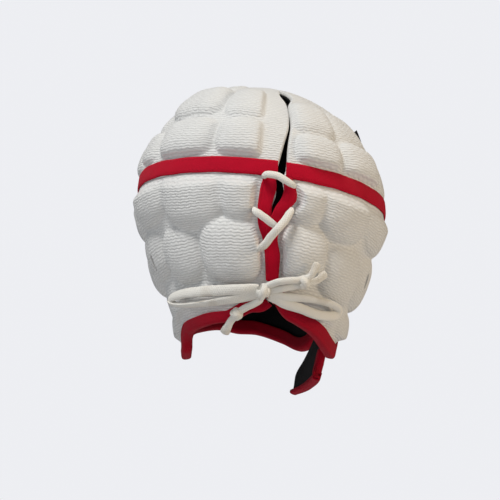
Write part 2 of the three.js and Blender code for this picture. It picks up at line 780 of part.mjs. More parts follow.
// The chin tab under the right cheek: black cloth, sewn inside the hem
const tabOutside = -overTab * seamGap - tapeThickness;

function tabPlace(u, v) {
  const drop = along(chinTab, 'way', 'drop', v) + along(chinTab, 'way', 'slope', v) * u;
  const back = along(chinTab, 'way', 'back', v);
  const front = along(chinTab, 'way', 'front', v);
  return { turn: back + (front - back) * u, level: -drop * skirtDepth };
}

function chinTabBody() {
  const at = (height) => (u, v) => {
    const { turn, level } = tabPlace(u, 1 - v);
    return capPoint(turn, level, height);
  };
  return skin(6, 8, at(tabOutside), at(tabOutside - tabThickness), 1);
}

// Red binding folded over an edge of the tab: down its back edge, or along its free end
const tabRadius = innerWidth * 0.263;
const backBinding = { from: 0.56, to: 0.76 };

function chinTabBinding(along) {
  const out = tabOutside + underBinding * seamGap;
  const inner = tabOutside - tabThickness - underBinding * seamGap;
  const foldOut = seamGap + tapeThickness;
  const degrees = 1 / (tabRadius * radians(1));
  return strip(6, (u) => {
    const edge = along === 'back' ? tabPlace(0, backBinding.from + (backBinding.to - backBinding.from) * u) : tabPlace(u, 1);
    const at = (inwards, height) => (along === 'back'
      ? capPoint(edge.turn + inwards * degrees, edge.level, height)
      : capPoint(edge.turn, edge.level + inwards, height));
    return [
      at(tabBinding, out), at(tabBinding, out + tapeThickness), at(-foldOut, out + tapeThickness),
      at(-foldOut, inner - tapeThickness), at(tabBinding, inner - tapeThickness),
      at(tabBinding, inner), at(-seamGap, inner), at(-seamGap, out),
    ];
  });
}

// The edge of black lining that stands out of the side seam of the crown
function liningFold() {
  const base = { low: 0.36, high: 0.44, inside: panelInside, outside: channelTop + padRise };
  return strip(1, (u) => {
    const at = (share, height) => {
      const level = share * crownArc;
      return capPoint(halfTurn(1, crownSplit, level) + (u - 0.5) * seamTurn(level) * 2, level, height);
    };
    return [
      at(base.low, base.inside),
      at(base.low, base.outside - padRise / 2),
      at(base.high, base.outside),
      at(base.high, base.inside),
    ];
  });
}

function part(group, name, geometry, color, roughness) {
  const shape = facingOut(geometry);
  shape.rotateX(radians(wornTilt));
  shape.computeVertexNormals();
  const mesh = new THREE.Mesh(shape, new THREE.MeshStandardMaterial({ color, roughness, metalness: 0 }));
  mesh.name = name;
  group.add(mesh);
}

const cap = new THREE.Group();
cap.name = 'scrum_cap';
for (const [side, word] of [[-1, 'left'], [1, 'right']]) {
  part(cap, `side_panel_${word}`, cut(sidePanel(side), ventCutter(side)), white, 0.9);
  part(cap, `crown_panel_rear_${word}`, crownPanel(side, false), white, 0.9);
  part(cap, `crown_panel_front_${word}`, crownPanel(side, true), white, 0.9);
  part(cap, `side_lining_${word}`, sideLining(side), black, 0.95);
  part(cap, `crown_lining_rear_${word}`, crownLining(side, false), black, 0.95);
  part(cap, `crown_lining_front_${word}`, crownLining(side, true), black, 0.95);
  part(cap, `crown_tape_${word}`, crownTape(side), red, 0.85);
  part(cap, `hem_binding_${word}`, hemBinding(side), red, 0.85);
}
part(cap, 'placket_tape_left', placketTape(leftPlacket, underBinding * seamGap), red, 0.85);
part(cap, 'placket_tape_right', placketTape(rightPlacket, overLeftTape * seamGap + tapeThickness), red, 0.85);
part(cap, 'chin_tab_right', chinTabBody(), black, 0.95);
part(cap, 'chin_tab_binding_back', chinTabBinding('back'), red, 0.85);
part(cap, 'chin_tab_binding_end', chinTabBinding('end'), red, 0.85);
part(cap, 'lining_fold', liningFold(), black, 0.95);
for (const name of Object.keys(laceRoutes)) part(cap, name, lace(name), cream, 0.85);
for (const [name, place] of Object.entries(knotPlaces)) part(cap, name, knot(place), cream, 0.85);

export default cap;
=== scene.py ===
import bpy
import bmesh
import math
import numpy as np
from mathutils import Matrix, Vector


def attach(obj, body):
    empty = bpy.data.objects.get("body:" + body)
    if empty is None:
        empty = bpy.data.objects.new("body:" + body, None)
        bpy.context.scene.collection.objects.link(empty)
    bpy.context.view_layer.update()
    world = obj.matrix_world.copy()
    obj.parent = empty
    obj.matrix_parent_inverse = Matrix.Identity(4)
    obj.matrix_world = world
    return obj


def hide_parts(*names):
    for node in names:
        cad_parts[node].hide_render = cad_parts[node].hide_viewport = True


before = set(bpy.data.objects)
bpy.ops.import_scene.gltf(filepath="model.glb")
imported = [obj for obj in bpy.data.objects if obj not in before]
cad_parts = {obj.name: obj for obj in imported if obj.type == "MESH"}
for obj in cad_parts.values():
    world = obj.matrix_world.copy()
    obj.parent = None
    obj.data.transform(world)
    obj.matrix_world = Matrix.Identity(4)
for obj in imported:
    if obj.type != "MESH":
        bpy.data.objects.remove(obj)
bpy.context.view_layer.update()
print("frame loaded")

metre = 1000  # millimetres
# The cap's form in millimetres: turn goes round from the back (plus to the wearer's right),
# level goes along the cap from its widest ring (plus up), height is square to the inner surface.
cap = {
    "innerWidth": 170,
    "rearReach": 93,
    "frontReach": 104,
    "crownRise": 83,
    "crownArc": 136,
    "skirtDepth": 112,
    "crownTaper": 1.02,
    "crownLean": 5.5,
    "wornTilt": 14,
    "seamUp": 0.053,
    "crownCover": 0.985,
    "placketDrop": 0.575,
    "sideSeam": 0.45,
}
layers = {"lining": 1.0, "gap": 0.3, "channel": 2.7, "pad": 8.0}
panelInside = layers["lining"] + layers["gap"]
channelTop = panelInside + layers["channel"]
tape = {"width": 11, "thickness": 1.1, "binding": 7.2}
seamLevel = cap["seamUp"] * cap["crownArc"]
tapeBottom = seamLevel - tape["width"] / 2
tapeTop = seamLevel + tape["width"] / 2
placketTop = tapeBottom - 2 * layers["gap"]
placketBottom = -cap["placketDrop"] * cap["skirtDepth"]

# down, side, rear, front, lean
skirtRings = [
    (0, 1, 1, 1, 0),
    (0.22, 0.91, 0.965, 0.985, 0.01),
    (0.46, 0.79, 0.9, 0.95, 0.03),
    (0.76, 0.63, 0.79, 0.9, 0.07),
    (1, 0.56, 0.74, 0.86, 0.095),
    (1.25, 0.49, 0.7, 0.82, 0.1),
    (1.43, 0.44, 0.67, 0.79, 0.1),
]
# turn, left drop, right drop
hemRows = [
    (0, 0.67, 0.67),
    (8, 0.735, 0.755),
    (17, 0.752, 0.785),
    (29, 0.806, 0.815),
    (38, 0.817, 0.843),
    (46, 0.824, 0.872),
    (54, 0.835, 0.893),
    (62, 0.846, 0.905),
    (70, 0.858, 0.905),
    (76, 0.87, 0.89),
    (84, 0.91, 0.85),
    (90, 0.965, 0.8),
    (104, 0.985, 0.745),
    (114, 0.93, 0.725),
    (122, 0.83, 0.775),
    (130, 0.785, 0.785),
    (145, 0.73, 0.73),
    (165, 0.675, 0.675),
    (180, 0.68, 0.68),
]
# level as a share of the crown arc, middle, half width in degrees
slitRows = [
    (-0.6, -3.4, 0.4),
    (-0.48, -2.4, 0.4),
    (-0.17, -4, 0.4),
    (-0.125, -2.9, 0.9),
    (-0.08, -1.1, 1.5),
    (-0.04, -0.9, 1.7),
    (0, -1.6, 1.4),
    (0.06, -0.8, 1.8),
    (0.2, 1, 0.9),
    (0.33, 3.5, 0.4),
    (0.5, 4.3, 0.5),
    (0.6, 5.6, 4.2),
    (0.68, 5.9, 3.2),
    (0.76, 5.6, 0.8),
    (1, 0, 6),
]
# turn, drop or rise, half turn, half drop or rise, lift
leftSkirtPads = [
    (19.5, 0.07, 8.2, 0.185, 0.9),
    (43, 0.09, 17, 0.205, 1),
    (78, 0.06, 18, 0.18, 1),
    (24, 0.42, 16.5, 0.18, 1.05),
    (56, 0.44, 13.5, 0.155, 0.75),
    (85, 0.4, 15, 0.145, 0.85),
    (44, 0.71, 20, 0.1, 0.45),
    (81, 0.7, 15, 0.13, 0.6),
    (99, 0.84, 15, 0.12, 0.6),
]
rightSkirtPads = [
    (12, 0.07, 8.5, 0.17, 0.9),
    (34, 0.08, 15, 0.19, 1.05),
    (67, 0.07, 17, 0.18, 0.85),
    (13.5, 0.4, 13, 0.17, 1.15),
    (42, 0.46, 15, 0.18, 1.1),
    (77, 0.42, 16, 0.17, 0.9),
    (33, 0.69, 18, 0.1, 0.5),
    (76, 0.74, 18, 0.12, 0.8),
]
frontSkirtPads = [
    (112, 0.07, 13, 0.18, 1),
    (139, 0.07, 13, 0.18, 1),
    (166, 0.07, 12.5, 0.18, 1),
    (112, 0.43, 12, 0.15, 0.9),
    (138, 0.43, 13, 0.15, 0.9),
    (165, 0.42, 13, 0.145, 0.9),
]
leftCrownPads = [
    (20, 0.215, 11.5, 0.11, 0.85),
    (49, 0.22, 16, 0.115, 0.9),
    (20, 0.47, 12.5, 0.135, 0.7),
    (53, 0.49, 19, 0.14, 0.95),
    (80, 0.2, 12, 0.1, 0.6),
    (60, 0.72, 24, 0.08, 0.25),
]
rightCrownPads = [
    (17, 0.185, 11.5, 0.09, 0.9),
    (43, 0.19, 13.5, 0.11, 0.95),
    (17, 0.4, 12, 0.12, 0.65),
    (45, 0.42, 15, 0.11, 0.3),
    (71, 0.2, 12, 0.11, 0.3),
    (73, 0.44, 11, 0.1, 0.1),
]
frontCrownPads = [
    (110, 0.22, 16, 0.115, 0.9),
    (152, 0.22, 24, 0.115, 0.9),
    (112, 0.48, 18, 0.135, 0.8),
    (154, 0.48, 22, 0.135, 0.8),
]
# way down, from, to in degrees
leftPlacket = [
    (0, -8.6, -3.3),
    (0.1, -9.6, -2.7),
    (0.2, -10.1, -3.5),
    (0.28, -10.4, -4),
    (0.39, -10.4, -3.6),
    (0.5, -9.6, -2.6),
    (0.6, -7.8, -1.1),
    (0.75, -6.4, 0.5),
    (1, -5.7, 0.9),
]
rightPlacket = [
    (0, -0.5, 3.3),
    (0.06, 0.1, 4.9),
    (0.13, 0.2, 6.1),
    (0.2, -0.6, 6.1),
    (0.28, -2.5, 3.9),
    (0.36, -3.9, 2.1),
    (0.5, -6.1, 0.3),
    (0.6, -6, -0.4),
    (0.75, -5.7, 1.4),
    (1, -5.4, 1.2),
]


# Smooth value of one column of a table
def lookUp(table, column, place):
    keys = np.array([row[0] for row in table], float)
    values = np.array([row[column] for row in table], float)
    before = np.maximum(np.arange(len(keys)) - 1, 0)
    after = np.minimum(np.arange(len(keys)) + 1, len(keys) - 1)
    slopes = (values[after] - values[before]) / (keys[after] - keys[before])
    place = np.asarray(place, float)
    i = np.clip(np.searchsorted(keys, place, side="right") - 1, 0, len(keys) - 2)
    span = keys[i + 1] - keys[i]
    u = np.clip((place - keys[i]) / span, 0, 1)
    u2, u3 = u * u, u * u * u
    start = (2 * u3 - 3 * u2 + 1) * values[i] + (u3 - 2 * u2 + u) * span * slopes[i]
    return start + (3 * u2 - 2 * u3) * values[i + 1] + (u3 - u2) * span * slopes[i + 1]


def climbAngle(level):
    return np.clip(level / cap["crownArc"], 0, 1) * math.pi / 2


def innerPoint(turn, level):
    turn, level = np.broadcast_arrays(np.asarray(turn, float), np.asarray(level, float))
    angle = np.radians(turn)
    climb = climbAngle(level)
    crown = np.maximum(np.cos(climb), 0) ** cap["crownTaper"]
    down = -level / cap["skirtDepth"]
    side, rear, front = [np.where(level > 0, crown, lookUp(skirtRings, k, down)) for k in (1, 2, 3)]
    lean = np.where(level > 0, 0, lookUp(skirtRings, 4, down))
    reach = np.where(np.cos(angle) >= 0, cap["rearReach"] * rear, cap["frontReach"] * front)
    shift = cap["skirtDepth"] * lean - cap["crownLean"] * np.sin(climb)
    x = cap["innerWidth"] / 2 * side * np.sin(angle) + shift
    z = np.where(level > 0, cap["crownRise"] * (np.sin(climb) - 1), level - cap["crownRise"])
    return np.stack([x, -reach * np.cos(angle), z], -1)


probe = 0.5  # degrees or millimetres to either side, for slopes


def unit(vectors):
    return vectors / np.linalg.norm(vectors, axis=-1, keepdims=True)


def outwards(turn, level):
    top = np.minimum(level, cap["crownArc"] - 2 * probe)
    across = innerPoint(turn + probe, top) - innerPoint(turn - probe, top)
    up = innerPoint(turn, top + probe) - innerPoint(turn, top - probe)
    return unit(np.cross(across, up))


# A place on the cap, in the shared frame and in metres
def capPoint(turn, level, height):
    turn, level, height = np.broadcast_arrays(
        np.asarray(turn, float), np.asarray(level, float), np.asarray(height, float))
    return toFrame(innerPoint(turn, level) + outwards(turn, level) * height[..., None])


def toFrame(points):
    c, s = math.cos(math.radians(cap["wornTilt"])), math.sin(math.radians(cap["wornTilt"]))
    turned = points @ np.array([[1, 0, 0], [0, c, s], [0, -s, c]])
    return turned / metre


def ease(distance, width):
    share = np.clip(distance / width, 0, 1)
    return share * share * (3 - 2 * share)


# A quarter round that rises from 0 to 1
def roundOff(distance, radius):
    return np.sqrt(np.clip(1 - (1 - np.clip(distance / radius, 0, 1)) ** 2, 0, 1))


# Soft lumps that repeat the same way each run: a sum of slanted waves, each quicker than the last
rippleLook = {
    "waves": 6,
    "turn": 2.399,
    "slowest": 0.6,
    "quicker": 0.27,
    "shift": 1.3,
    "seedTurn": 1.7,
    "seedShift": 3.1,
}


def ripple(x, y, height, size, seed):
    total = 0
    for k in range(rippleLook["waves"]):
        angle = seed * rippleLook["seedTurn"] + k * rippleLook["turn"]
        pace = 2 * math.pi / size * (rippleLook["slowest"] + rippleLook["quicker"] * k)
        along = x * math.cos(angle) + y * math.sin(angle)
        total = total + np.sin(pace * along + seed * rippleLook["seedShift"] + k * rippleLook["shift"])
    return height * total / rippleLook["waves"]


# Camera, world and lights: angles in degrees, lengths in millimetres, clip in metres
shot = {
    "azimuth": -7.2,
    "elevation": -11,
    "roll": 7.2,
    "distance": 1100,
    "lens": 109.1,
    "across": 5.52,
    "up": 10.89,
    "height": 102,
    "sensor": 36,
    "clip": 0.01,
}


def cameraAxes():
    a, e, r = [math.radians(shot[k]) for k in ("azimuth", "elevation", "roll")]
    back = np.array([math.sin(a) * math.cos(e), -math.cos(a) * math.cos(e), math.sin(e)])
    right = np.array([math.cos(a), math.sin(a), 0])
    up = np.cross(right, -back)
    return (math.cos(r) * right + math.sin(r) * up, -math.sin(r) * right + math.cos(r) * up, back)


shotRight, shotUp, shotBack = cameraAxes()
shotPlace = -shot["across"] * shotRight - shot["up"] * shotUp + shot["distance"] * shotBack
shotPlace = toFrame(shotPlace - np.array([0, 0, shot["height"]]))
shotRight, shotUp, shotBack = [toFrame(v) * metre for v in (shotRight, shotUp, shotBack)]


def addCamera():
    data = bpy.data.cameras.new("camera")
    data.lens = shot["lens"]
    data.sensor_width = shot["sensor"]
    data.clip_start = shot["clip"]
    camera = bpy.data.objects.new("camera", data)
    turned = Matrix((shotRight, shotUp, shotBack)).transposed().to_4x4()
    camera.matrix_world = Matrix.Translation(Vector(shotPlace)) @ turned
    bpy.context.scene.collection.objects.link(camera)
    bpy.context.scene.camera = camera


addCamera()
print("camera set")

lighting = {
    "background": (0.85, 0.858, 0.89),
    "ambient": (0.92, 0.95, 1.0),
    "ambientStrength": 0.1,
    "aim": (0, 0.02, -0.09),
    # right, up, towards the camera in metres from the aim; size; watts; colour
    "key": ((-0.35, 1.3, 0.5), 0.4, 16, (1.0, 0.985, 0.955)),
    "left": ((-1.2, 0.15, 0.6), 0.9, 1.8, (0.8, 0.9, 1.0)),
    "right": ((1.25, 0.2, 0.45), 0.6, 6.5, (1.0, 0.78, 0.5)),
}


def addLight(name):
    place, size, watts, colour = lighting[name]
    data = bpy.data.lights.new(name, "AREA")
    data.size = size
    data.energy = watts
    data.color = colour
    lamp = bpy.data.objects.new(name, data)
    offset = Vector(shotRight) * place[0] + Vector(shotUp) * place[1] + Vector(shotBack) * place[2]
    lamp.location = Vector(lighting["aim"]) + offset
    lamp.rotation_mode = "QUATERNION"
    lamp.rotation_quaternion = (-offset).to_track_quat("-Z", "Y")
    bpy.context.scene.collection.objects.link(lamp)


# The lit room is dimmer than the pale backdrop that shows behind the cap
def addWorld():
    world = bpy.data.worlds.new("studio")
    bpy.context.scene.world = world
    world.use_nodes = True
    tree = world.node_tree
    sky = tree.nodes["Background"]
    sky.inputs["Color"].default_value = (*lighting["ambient"], 1)
    sky.inputs["Strength"].default_value = lighting["ambientStrength"]
    backdrop = tree.nodes.new("ShaderNodeBackground")
    backdrop.inputs["Color"].default_value = (*lighting["background"], 1)
    backdrop.inputs["Strength"].default_value = 1.0
    mix = tree.nodes.new("ShaderNodeMixShader")
    ray = tree.nodes.new("ShaderNodeLightPath")
    tree.links.new(ray.outputs["Is Camera Ray"], mix.inputs[0])
    tree.links.new(sky.outputs[0], mix.inputs[1])
    tree.links.new(backdrop.outputs[0], mix.inputs[2])
    tree.links.new(mix.outputs[0], tree.nodes["World Output"].inputs["Surface"])
    bpy.context.scene.view_settings.view_transform = "Standard"


addWorld()
for lampName in ("key", "left", "right"):
    addLight(lampName)
print("lights set")


# Materials: roughness, sheen and specular are shares, depths are in metres
def newMaterial(name, colour, look):
    material = bpy.data.materials.new(name)
    material.use_nodes = True
    shader = material.node_tree.nodes["Principled BSDF"]
    shader.inputs["Base Color"].default_value = (*colour, 1)
    shader.inputs["Roughness"].default_value = look["roughness"]
    shader.inputs["Specular IOR Level"].default_value = look["specular"]
    shader.inputs["Sheen Weight"].default_value = look["sheen"]
    shader.inputs["Sheen Roughness"].default_value = 0.5
    return material, shader


clothUnit = 100  # millimetres in one unit of the cloth map


class Nodes:
    def __init__(self, material):
        self.tree = material.node_tree

    def add(self, kind, **settings):
        node = self.tree.nodes.new(kind)
        for key, value in settings.items():
            setattr(node, key, value)
        return node

    def link(self, a, b):
        self.tree.links.new(a, b)

    def math(self, operation, a, b=None, c=None):
        node = self.add("ShaderNodeMath", operation=operation)
        for k, value in enumerate((a, b, c)):
            if value is None:
                continue
            if isinstance(value, (int, float)):
                node.inputs[k].default_value = value
            else:
                self.link(value, node.inputs[k])
        return node.outputs[0]

    def noise(self, vector, scale, detail):
        node = self.add("ShaderNodeTexNoise")
        node.inputs["Scale"].default_value = scale
        node.inputs["Detail"].default_value = detail
        self.link(vector, node.inputs["Vector"])
        return node.outputs["Fac"]

    # The cloth map's two directions in millimetres
    def cloth(self):
        mapNode = self.add("ShaderNodeUVMap", uv_map="cloth")
        split = self.add("ShaderNodeSeparateXYZ")
        self.link(mapNode.outputs[0], split.inputs[0])
        x = self.math("MULTIPLY", split.outputs[0], clothUnit)
        y = self.math("MULTIPLY", split.outputs[1], clothUnit)
        return mapNode.outputs[0], x, y

    def bump(self, height, strength, distance):
        node = self.add("ShaderNodeBump")
        node.inputs["Strength"].default_value = strength
        node.inputs["Distance"].default_value = distance
        self.link(height, node.inputs["Height"])
        return node.outputs[0]

    # A Mix node takes its colours at sockets 6 and 7 and gives a colour at 2
    def blend(self, share, first, second):
        node = self.add("ShaderNodeMix", data_type="RGBA")
        for key, value in ((6, first), (7, second)):
            if isinstance(value, tuple):
                node.inputs[key].default_value = (*value, 1)
            else:
                self.link(value, node.inputs[key])
        self.link(share, node.inputs[0])
        return node.outputs[2]


coverLook = {
    "colour": (0.77, 0.77, 0.755),
    # painted shade colour for the rib valleys
    "valleyShadeColour": (0.5, 0.495, 0.485),
    "roughness": 0.85,
    "sheen": 0.15,
    "specular": 0.2,
    "bump": 1.0,
    "ribPitch": 1.8,
    "cellLength": 5.4,
    "wander": 2.0,
    "wave": 0.11,
    "dash": 0.3,
    "ribRoundness": 0.7,
    "ribLow": 0.4,
    "wear": 0.9,
    "thread": 0.12,
    "depth": 0.0004,
    "ribShade": -0.34,
    "valleyShade": 0.36,
    "blotch": 0.25,
    # scale on the cloth map, detail
    "wanderNoise": (5, 2),
    "wearNoise": (40, 2),
    "threadNoise": (900, 2),
    "blotchNoise": (3, 3),
}


def coverMaterial():
    look = coverLook
    material, shader = newMaterial("ribbed cover cloth", look["colour"], look)
    n = Nodes(material)
    uv, x, y = n.cloth()
    wander = n.math("SUBTRACT", n.noise(uv, *look["wanderNoise"]), 0.5)
    wander = n.math("MULTIPLY", wander, look["wander"])
    row = n.math("ADD", n.math("DIVIDE", y, look["ribPitch"]), wander)
    parity = n.math("MULTIPLY", n.math("FLOOR", row), math.pi)
    along = n.math("MULTIPLY", n.math("ADD", x, wander), 2 * math.pi / look["cellLength"])
    dash = n.math("MULTIPLY", n.math("SINE", n.math("ADD", along, parity)), look["dash"])
    crossing = n.math("MULTIPLY_ADD", n.math("SINE", along), look["wave"], row)
    rib = n.math("ABSOLUTE", n.math("SINE", n.math("MULTIPLY", crossing, math.pi)))
    strength = n.math("MULTIPLY_ADD", n.noise(uv, *look["wearNoise"]), look["wear"], look["ribLow"])
    strength = n.math("ADD", strength, dash)
    rib = n.math("MULTIPLY", n.math("POWER", rib, look["ribRoundness"]), strength)
    lift = n.math("MULTIPLY_ADD", n.noise(uv, *look["threadNoise"]), look["thread"], rib)
    n.link(n.bump(lift, look["bump"], look["depth"]), shader.inputs["Normal"])
    # Painted shade: the rib valleys are blended towards the darker valley colour; the blotch is random tone
    share = n.math("MULTIPLY_ADD", rib, look["ribShade"], look["valleyShade"])
    blotch = n.math("SUBTRACT", n.noise(uv, *look["blotchNoise"]), 0.5)
    share = n.math("MULTIPLY_ADD", blotch, look["blotch"], share)
    colour = n.blend(n.math("MAXIMUM", share, 0.0), look["colour"], look["valleyShadeColour"])
    n.link(colour, shader.inputs["Base Color"])
    return material


liningLook = {
    "colour": (0.006, 0.006, 0.007),
    "worn": (0.016, 0.016, 0.018),
    "roughness": 0.9,
    "sheen": 0.05,
    "specular": 0.15,
    "pitch": 1.4,
    "bump": 0.8,
    "depth": 0.0002,
    "wear": 0.5,
    "fuzzNoise": (60, 3),
    "wearNoise": (8, 3),
}


def liningMaterial():
    look = liningLook
    material, shader = newMaterial("black lining knit", look["colour"], look)
    n = Nodes(material)
    uv, x, y = n.cloth()
    pace = 2 * math.pi / look["pitch"]
    across = n.math("SINE", n.math("MULTIPLY", x, pace))
    down = n.math("SINE", n.math("MULTIPLY", y, pace))
    mesh = n.math("MULTIPLY_ADD", across, down, n.noise(uv, *look["fuzzNoise"]))
    n.link(n.bump(mesh, look["bump"], look["depth"]), shader.inputs["Normal"])
    share = n.math("MULTIPLY", n.noise(uv, *look["wearNoise"]), look["wear"])
    n.link(n.blend(share, look["colour"], look["worn"]), shader.inputs["Base Color"])
    return material


tapeLook = {
    "colour": (0.55, 0.0, 0.022),
    # darker colour for painted shade along the seams and for random wear
    "shadeAndWear": (0.40, 0.0, 0.016),
    "seamTone": 1,
    "bindingShadeTone": 0.72,
    # the binding is the same red tape, painted darker as shade
    "roughness": 0.8,
    "sheen": 0.04,
    "specular": 0.12,
    "twill": 0.9,
    "slant": 0.35,
    "warp": 0.15,
    "fuzz": 0.8,
    "bump": 0.9,
    "depth": 0.0002,
    "stitchLength": 2.8,
    "stitchShare": 0.72,
    "stitchInset": 1.6,
    "stitchRise": 2.2,
    "seamWidth": 0.45,
    "seamDip": -1.4,
    "seamShade": 0.25,
    "wear": 0.7,
    "fuzzNoise": (30, 3),
    "wearNoise": (12, 4),
}


# The cloth map's second direction starts at one edge of the tape
def tapeMaterial(name, width, shadeScale):
    look = tapeLook
    colour, shadeAndWear = [tuple(shadeScale * c for c in look[key]) for key in ("colour", "shadeAndWear")]
    material, shader = newMaterial(name, colour, look)
    n = Nodes(material)
    uv, x, y = n.cloth()
    slant = n.math("MULTIPLY", n.math("ADD", x, y), 2 * math.pi / look["twill"])
    warp = n.math("MULTIPLY", n.math("SUBTRACT", x, y), math.pi / look["twill"])
    warp = n.math("MULTIPLY", n.math("SINE", warp), look["warp"])
    weave = n.math("MULTIPLY_ADD", n.math("SINE", slant), look["slant"], warp)
    lift = n.math("MULTIPLY_ADD", n.noise(uv, *look["fuzzNoise"]), look["fuzz"], weave)
    dash = n.math("FRACT", n.math("DIVIDE", x, look["stitchLength"]))
    dash = n.math("LESS_THAN", dash, look["stitchShare"])

    def seamAt(place):
        away = n.math("ABSOLUTE", n.math("SUBTRACT", y, place))
        return n.math("SUBTRACT", 1.0, n.math("MINIMUM", n.math("DIVIDE", away, look["seamWidth"]), 1.0))

    seam = n.math("MAXIMUM", seamAt(look["stitchInset"]), seamAt(width - look["stitchInset"]))
    lift = n.math("MULTIPLY_ADD", seam, look["seamDip"], lift)
    lift = n.math("MULTIPLY_ADD", n.math("MULTIPLY", seam, dash), look["stitchRise"], lift)
    n.link(n.bump(lift, look["bump"], look["depth"]), shader.inputs["Normal"])
    # Painted shade along the stitched seams, plus random wear, both blend towards the darker colour
    seamShade = n.math("MULTIPLY", seam, look["seamShade"])
    share = n.math("MULTIPLY_ADD", n.noise(uv, *look["wearNoise"]), look["wear"], seamShade)
    n.link(n.blend(share, colour, shadeAndWear), shader.inputs["Base Color"])
    return material


laceLook = {
    "colour": (0.88, 0.86, 0.80),
    # darker colour for painted shade in the braid's valleys and for random wear
    "shadeAndWear": (0.62, 0.58, 0.5),
    "soil": (0.42, 0.33, 0.22),
    "roughness": 0.8,
    "sheen": 0.2,
    "specular": 0.2,
    "braid": 1.7,
    "braidsRound": 8,
    "braidShade": -0.18,
    "fuzz": 0.9,
    "bump": 0.7,
    "depth": 0.0002,
    "wear": 0.45,
    "soilGain": 5.0,
    "soilStart": -2.9,
    "soilMost": 0.5,
    "fuzzNoise": (50, 3),
    "wearNoise": (6, 3),
    "soilNoise": (4.2, 1),
}


def laceMaterial():
    look = laceLook
    material, shader = newMaterial("braided lace", look["colour"], look)
    n = Nodes(material)
    uv, x, y = n.cloth()
    pace = 2 * math.pi / look["braid"]
    left = n.math("SINE", n.math("MULTIPLY", n.math("ADD", x, y), pace))
    right = n.math("SINE", n.math("MULTIPLY", n.math("SUBTRACT", x, y), pace))
    braid = n.math("MAXIMUM", left, right)
    lift = n.math("MULTIPLY_ADD", n.noise(uv, *look["fuzzNoise"]), look["fuzz"], braid)
    n.link(n.bump(lift, look["bump"], look["depth"]), shader.inputs["Normal"])
    # Painted shade in the braid's valleys, plus random wear, both blend towards the darker colour; the soil
    # is real dirt
    wear = n.math("MULTIPLY", n.noise(uv, *look["wearNoise"]), look["wear"])
    share = n.math("MULTIPLY_ADD", braid, look["braidShade"], wear)
    colour = n.blend(n.math("MAXIMUM", share, 0.0), look["colour"], look["shadeAndWear"])
    soil = n.math("MULTIPLY_ADD", n.noise(uv, *look["soilNoise"]), look["soilGain"], look["soilStart"])
    soil = n.math("MINIMUM", n.math("MAXIMUM", soil, 0.0), look["soilMost"])
    n.link(n.blend(soil, colour, look["soil"]), shader.inputs["Base Color"])
    return material


coverCloth = coverMaterial()
liningCloth = liningMaterial()
crownTapeCloth = tapeMaterial("red seam tape", tape["width"], tapeLook["seamTone"])
# Painted shade: the hem and chin tab bindings are the red tape made darker
bindingCloth = tapeMaterial("red edge binding", tape["binding"], tapeLook["bindingShadeTone"])
laceCloth = laceMaterial()
print("materials made")


# Making pieces
def finishPiece(name, mesh, material, replaced):
    piece = bpy.data.objects.new(name, mesh)
    bpy.context.scene.collection.objects.link(piece)
    mesh.materials.clear()
    mesh.materials.append(material)
    mesh.shade_smooth()
    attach(piece, "root")
    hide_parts(*replaced)
    return piece


def turnOutwards(mesh):
    mesh.calc_loop_triangles()
    corners = np.empty(len(mesh.loop_triangles) * 3, int)
    mesh.loop_triangles.foreach_get("vertices", corners)
    points = np.empty(len(mesh.vertices) * 3)
    mesh.vertices.foreach_get("co", points)
    a, b, c = [points.reshape(-1, 3)[corners.reshape(-1, 3)[:, k]] for k in range(3)]
    if (a * np.cross(b, c)).sum() < 0:
        mesh.flip_normals()


patchGrid = {"thickness": 0.1, "rim": 0.001, "merge": 1e-6, "rowStep": 1e3, "wallStep": 1e6}



# Solidify leaves its parts in an order of its own in each run, so they are put in rows
def gridOrder(place):
    return place.x + patchGrid["rowStep"] * place.y + patchGrid["wallStep"] * place.z


# A flat grid with one wall or two, each point's two places from 0 to 1, and whether it is on the outer wall
def flatGrid(name, columns, rows, walls):
    bm = bmesh.new()
    bmesh.ops.create_grid(bm, x_segments=columns, y_segments=rows, size=0.5)
    if walls == 2:
        bmesh.ops.solidify(bm, geom=bm.faces[:], thickness=patchGrid["thickness"])
        bm.verts.sort(key=lambda vert: gridOrder(vert.co))
        bm.edges.sort(key=lambda edge: gridOrder(edge.verts[0].co + edge.verts[1].co))
        bm.faces.sort(key=lambda face: gridOrder(face.calc_center_median()))
    mesh = bpy.data.meshes.new(name)
    bm.to_mesh(mesh)
    bm.free()
    flat = np.empty(len(mesh.vertices) * 3)
    mesh.vertices.foreach_get("co", flat)
    flat = flat.reshape(-1, 3)
    return mesh, flat[:, 0] + 0.5, flat[:, 1] + 0.5, np.abs(flat[:, 2]) < patchGrid["thickness"] / 2


def setCloth(mesh, across, along):
    corners = np.empty(len(mesh.loops), int)
    mesh.loops.foreach_get("vertex_index", corners)
    layer = mesh.uv_layers.new(name="cloth")
    layer.data.foreach_set("uv", (np.stack([across, along], -1)[corners] / clothUnit).ravel())


def smoothMiddle(mesh, fixed, times):
    bm = bmesh.new()
    bm.from_mesh(mesh)
    bm.verts.ensure_lookup_table()
    free = [bm.verts[i] for i in np.nonzero(~fixed)[0]]
    for step in range(times):
        bmesh.ops.smooth_vert(bm, verts=free, factor=0.5,
                              use_axis_x=True, use_axis_y=True, use_axis_z=True)
    bm.to_mesh(mesh)
    bm.free()


# A patch with two walls: place(u, v, outside) gives its points, cloth(u, v) its map in mm
def patchMesh(name, columns, rows, place, cloth, smoothing=0):
    mesh, u, v, outside = flatGrid(name, columns, rows, 2)
    mesh.vertices.foreach_set("co", place(u, v, outside).ravel())
    setCloth(mesh, *cloth(u, v))
    rim = np.minimum(np.minimum(u, 1 - u), np.minimum(v, 1 - v)) < patchGrid["rim"]
    if smoothing:
        smoothMiddle(mesh, rim | ~outside, smoothing)
    mesh.update()
    turnOutwards(mesh)
    return mesh


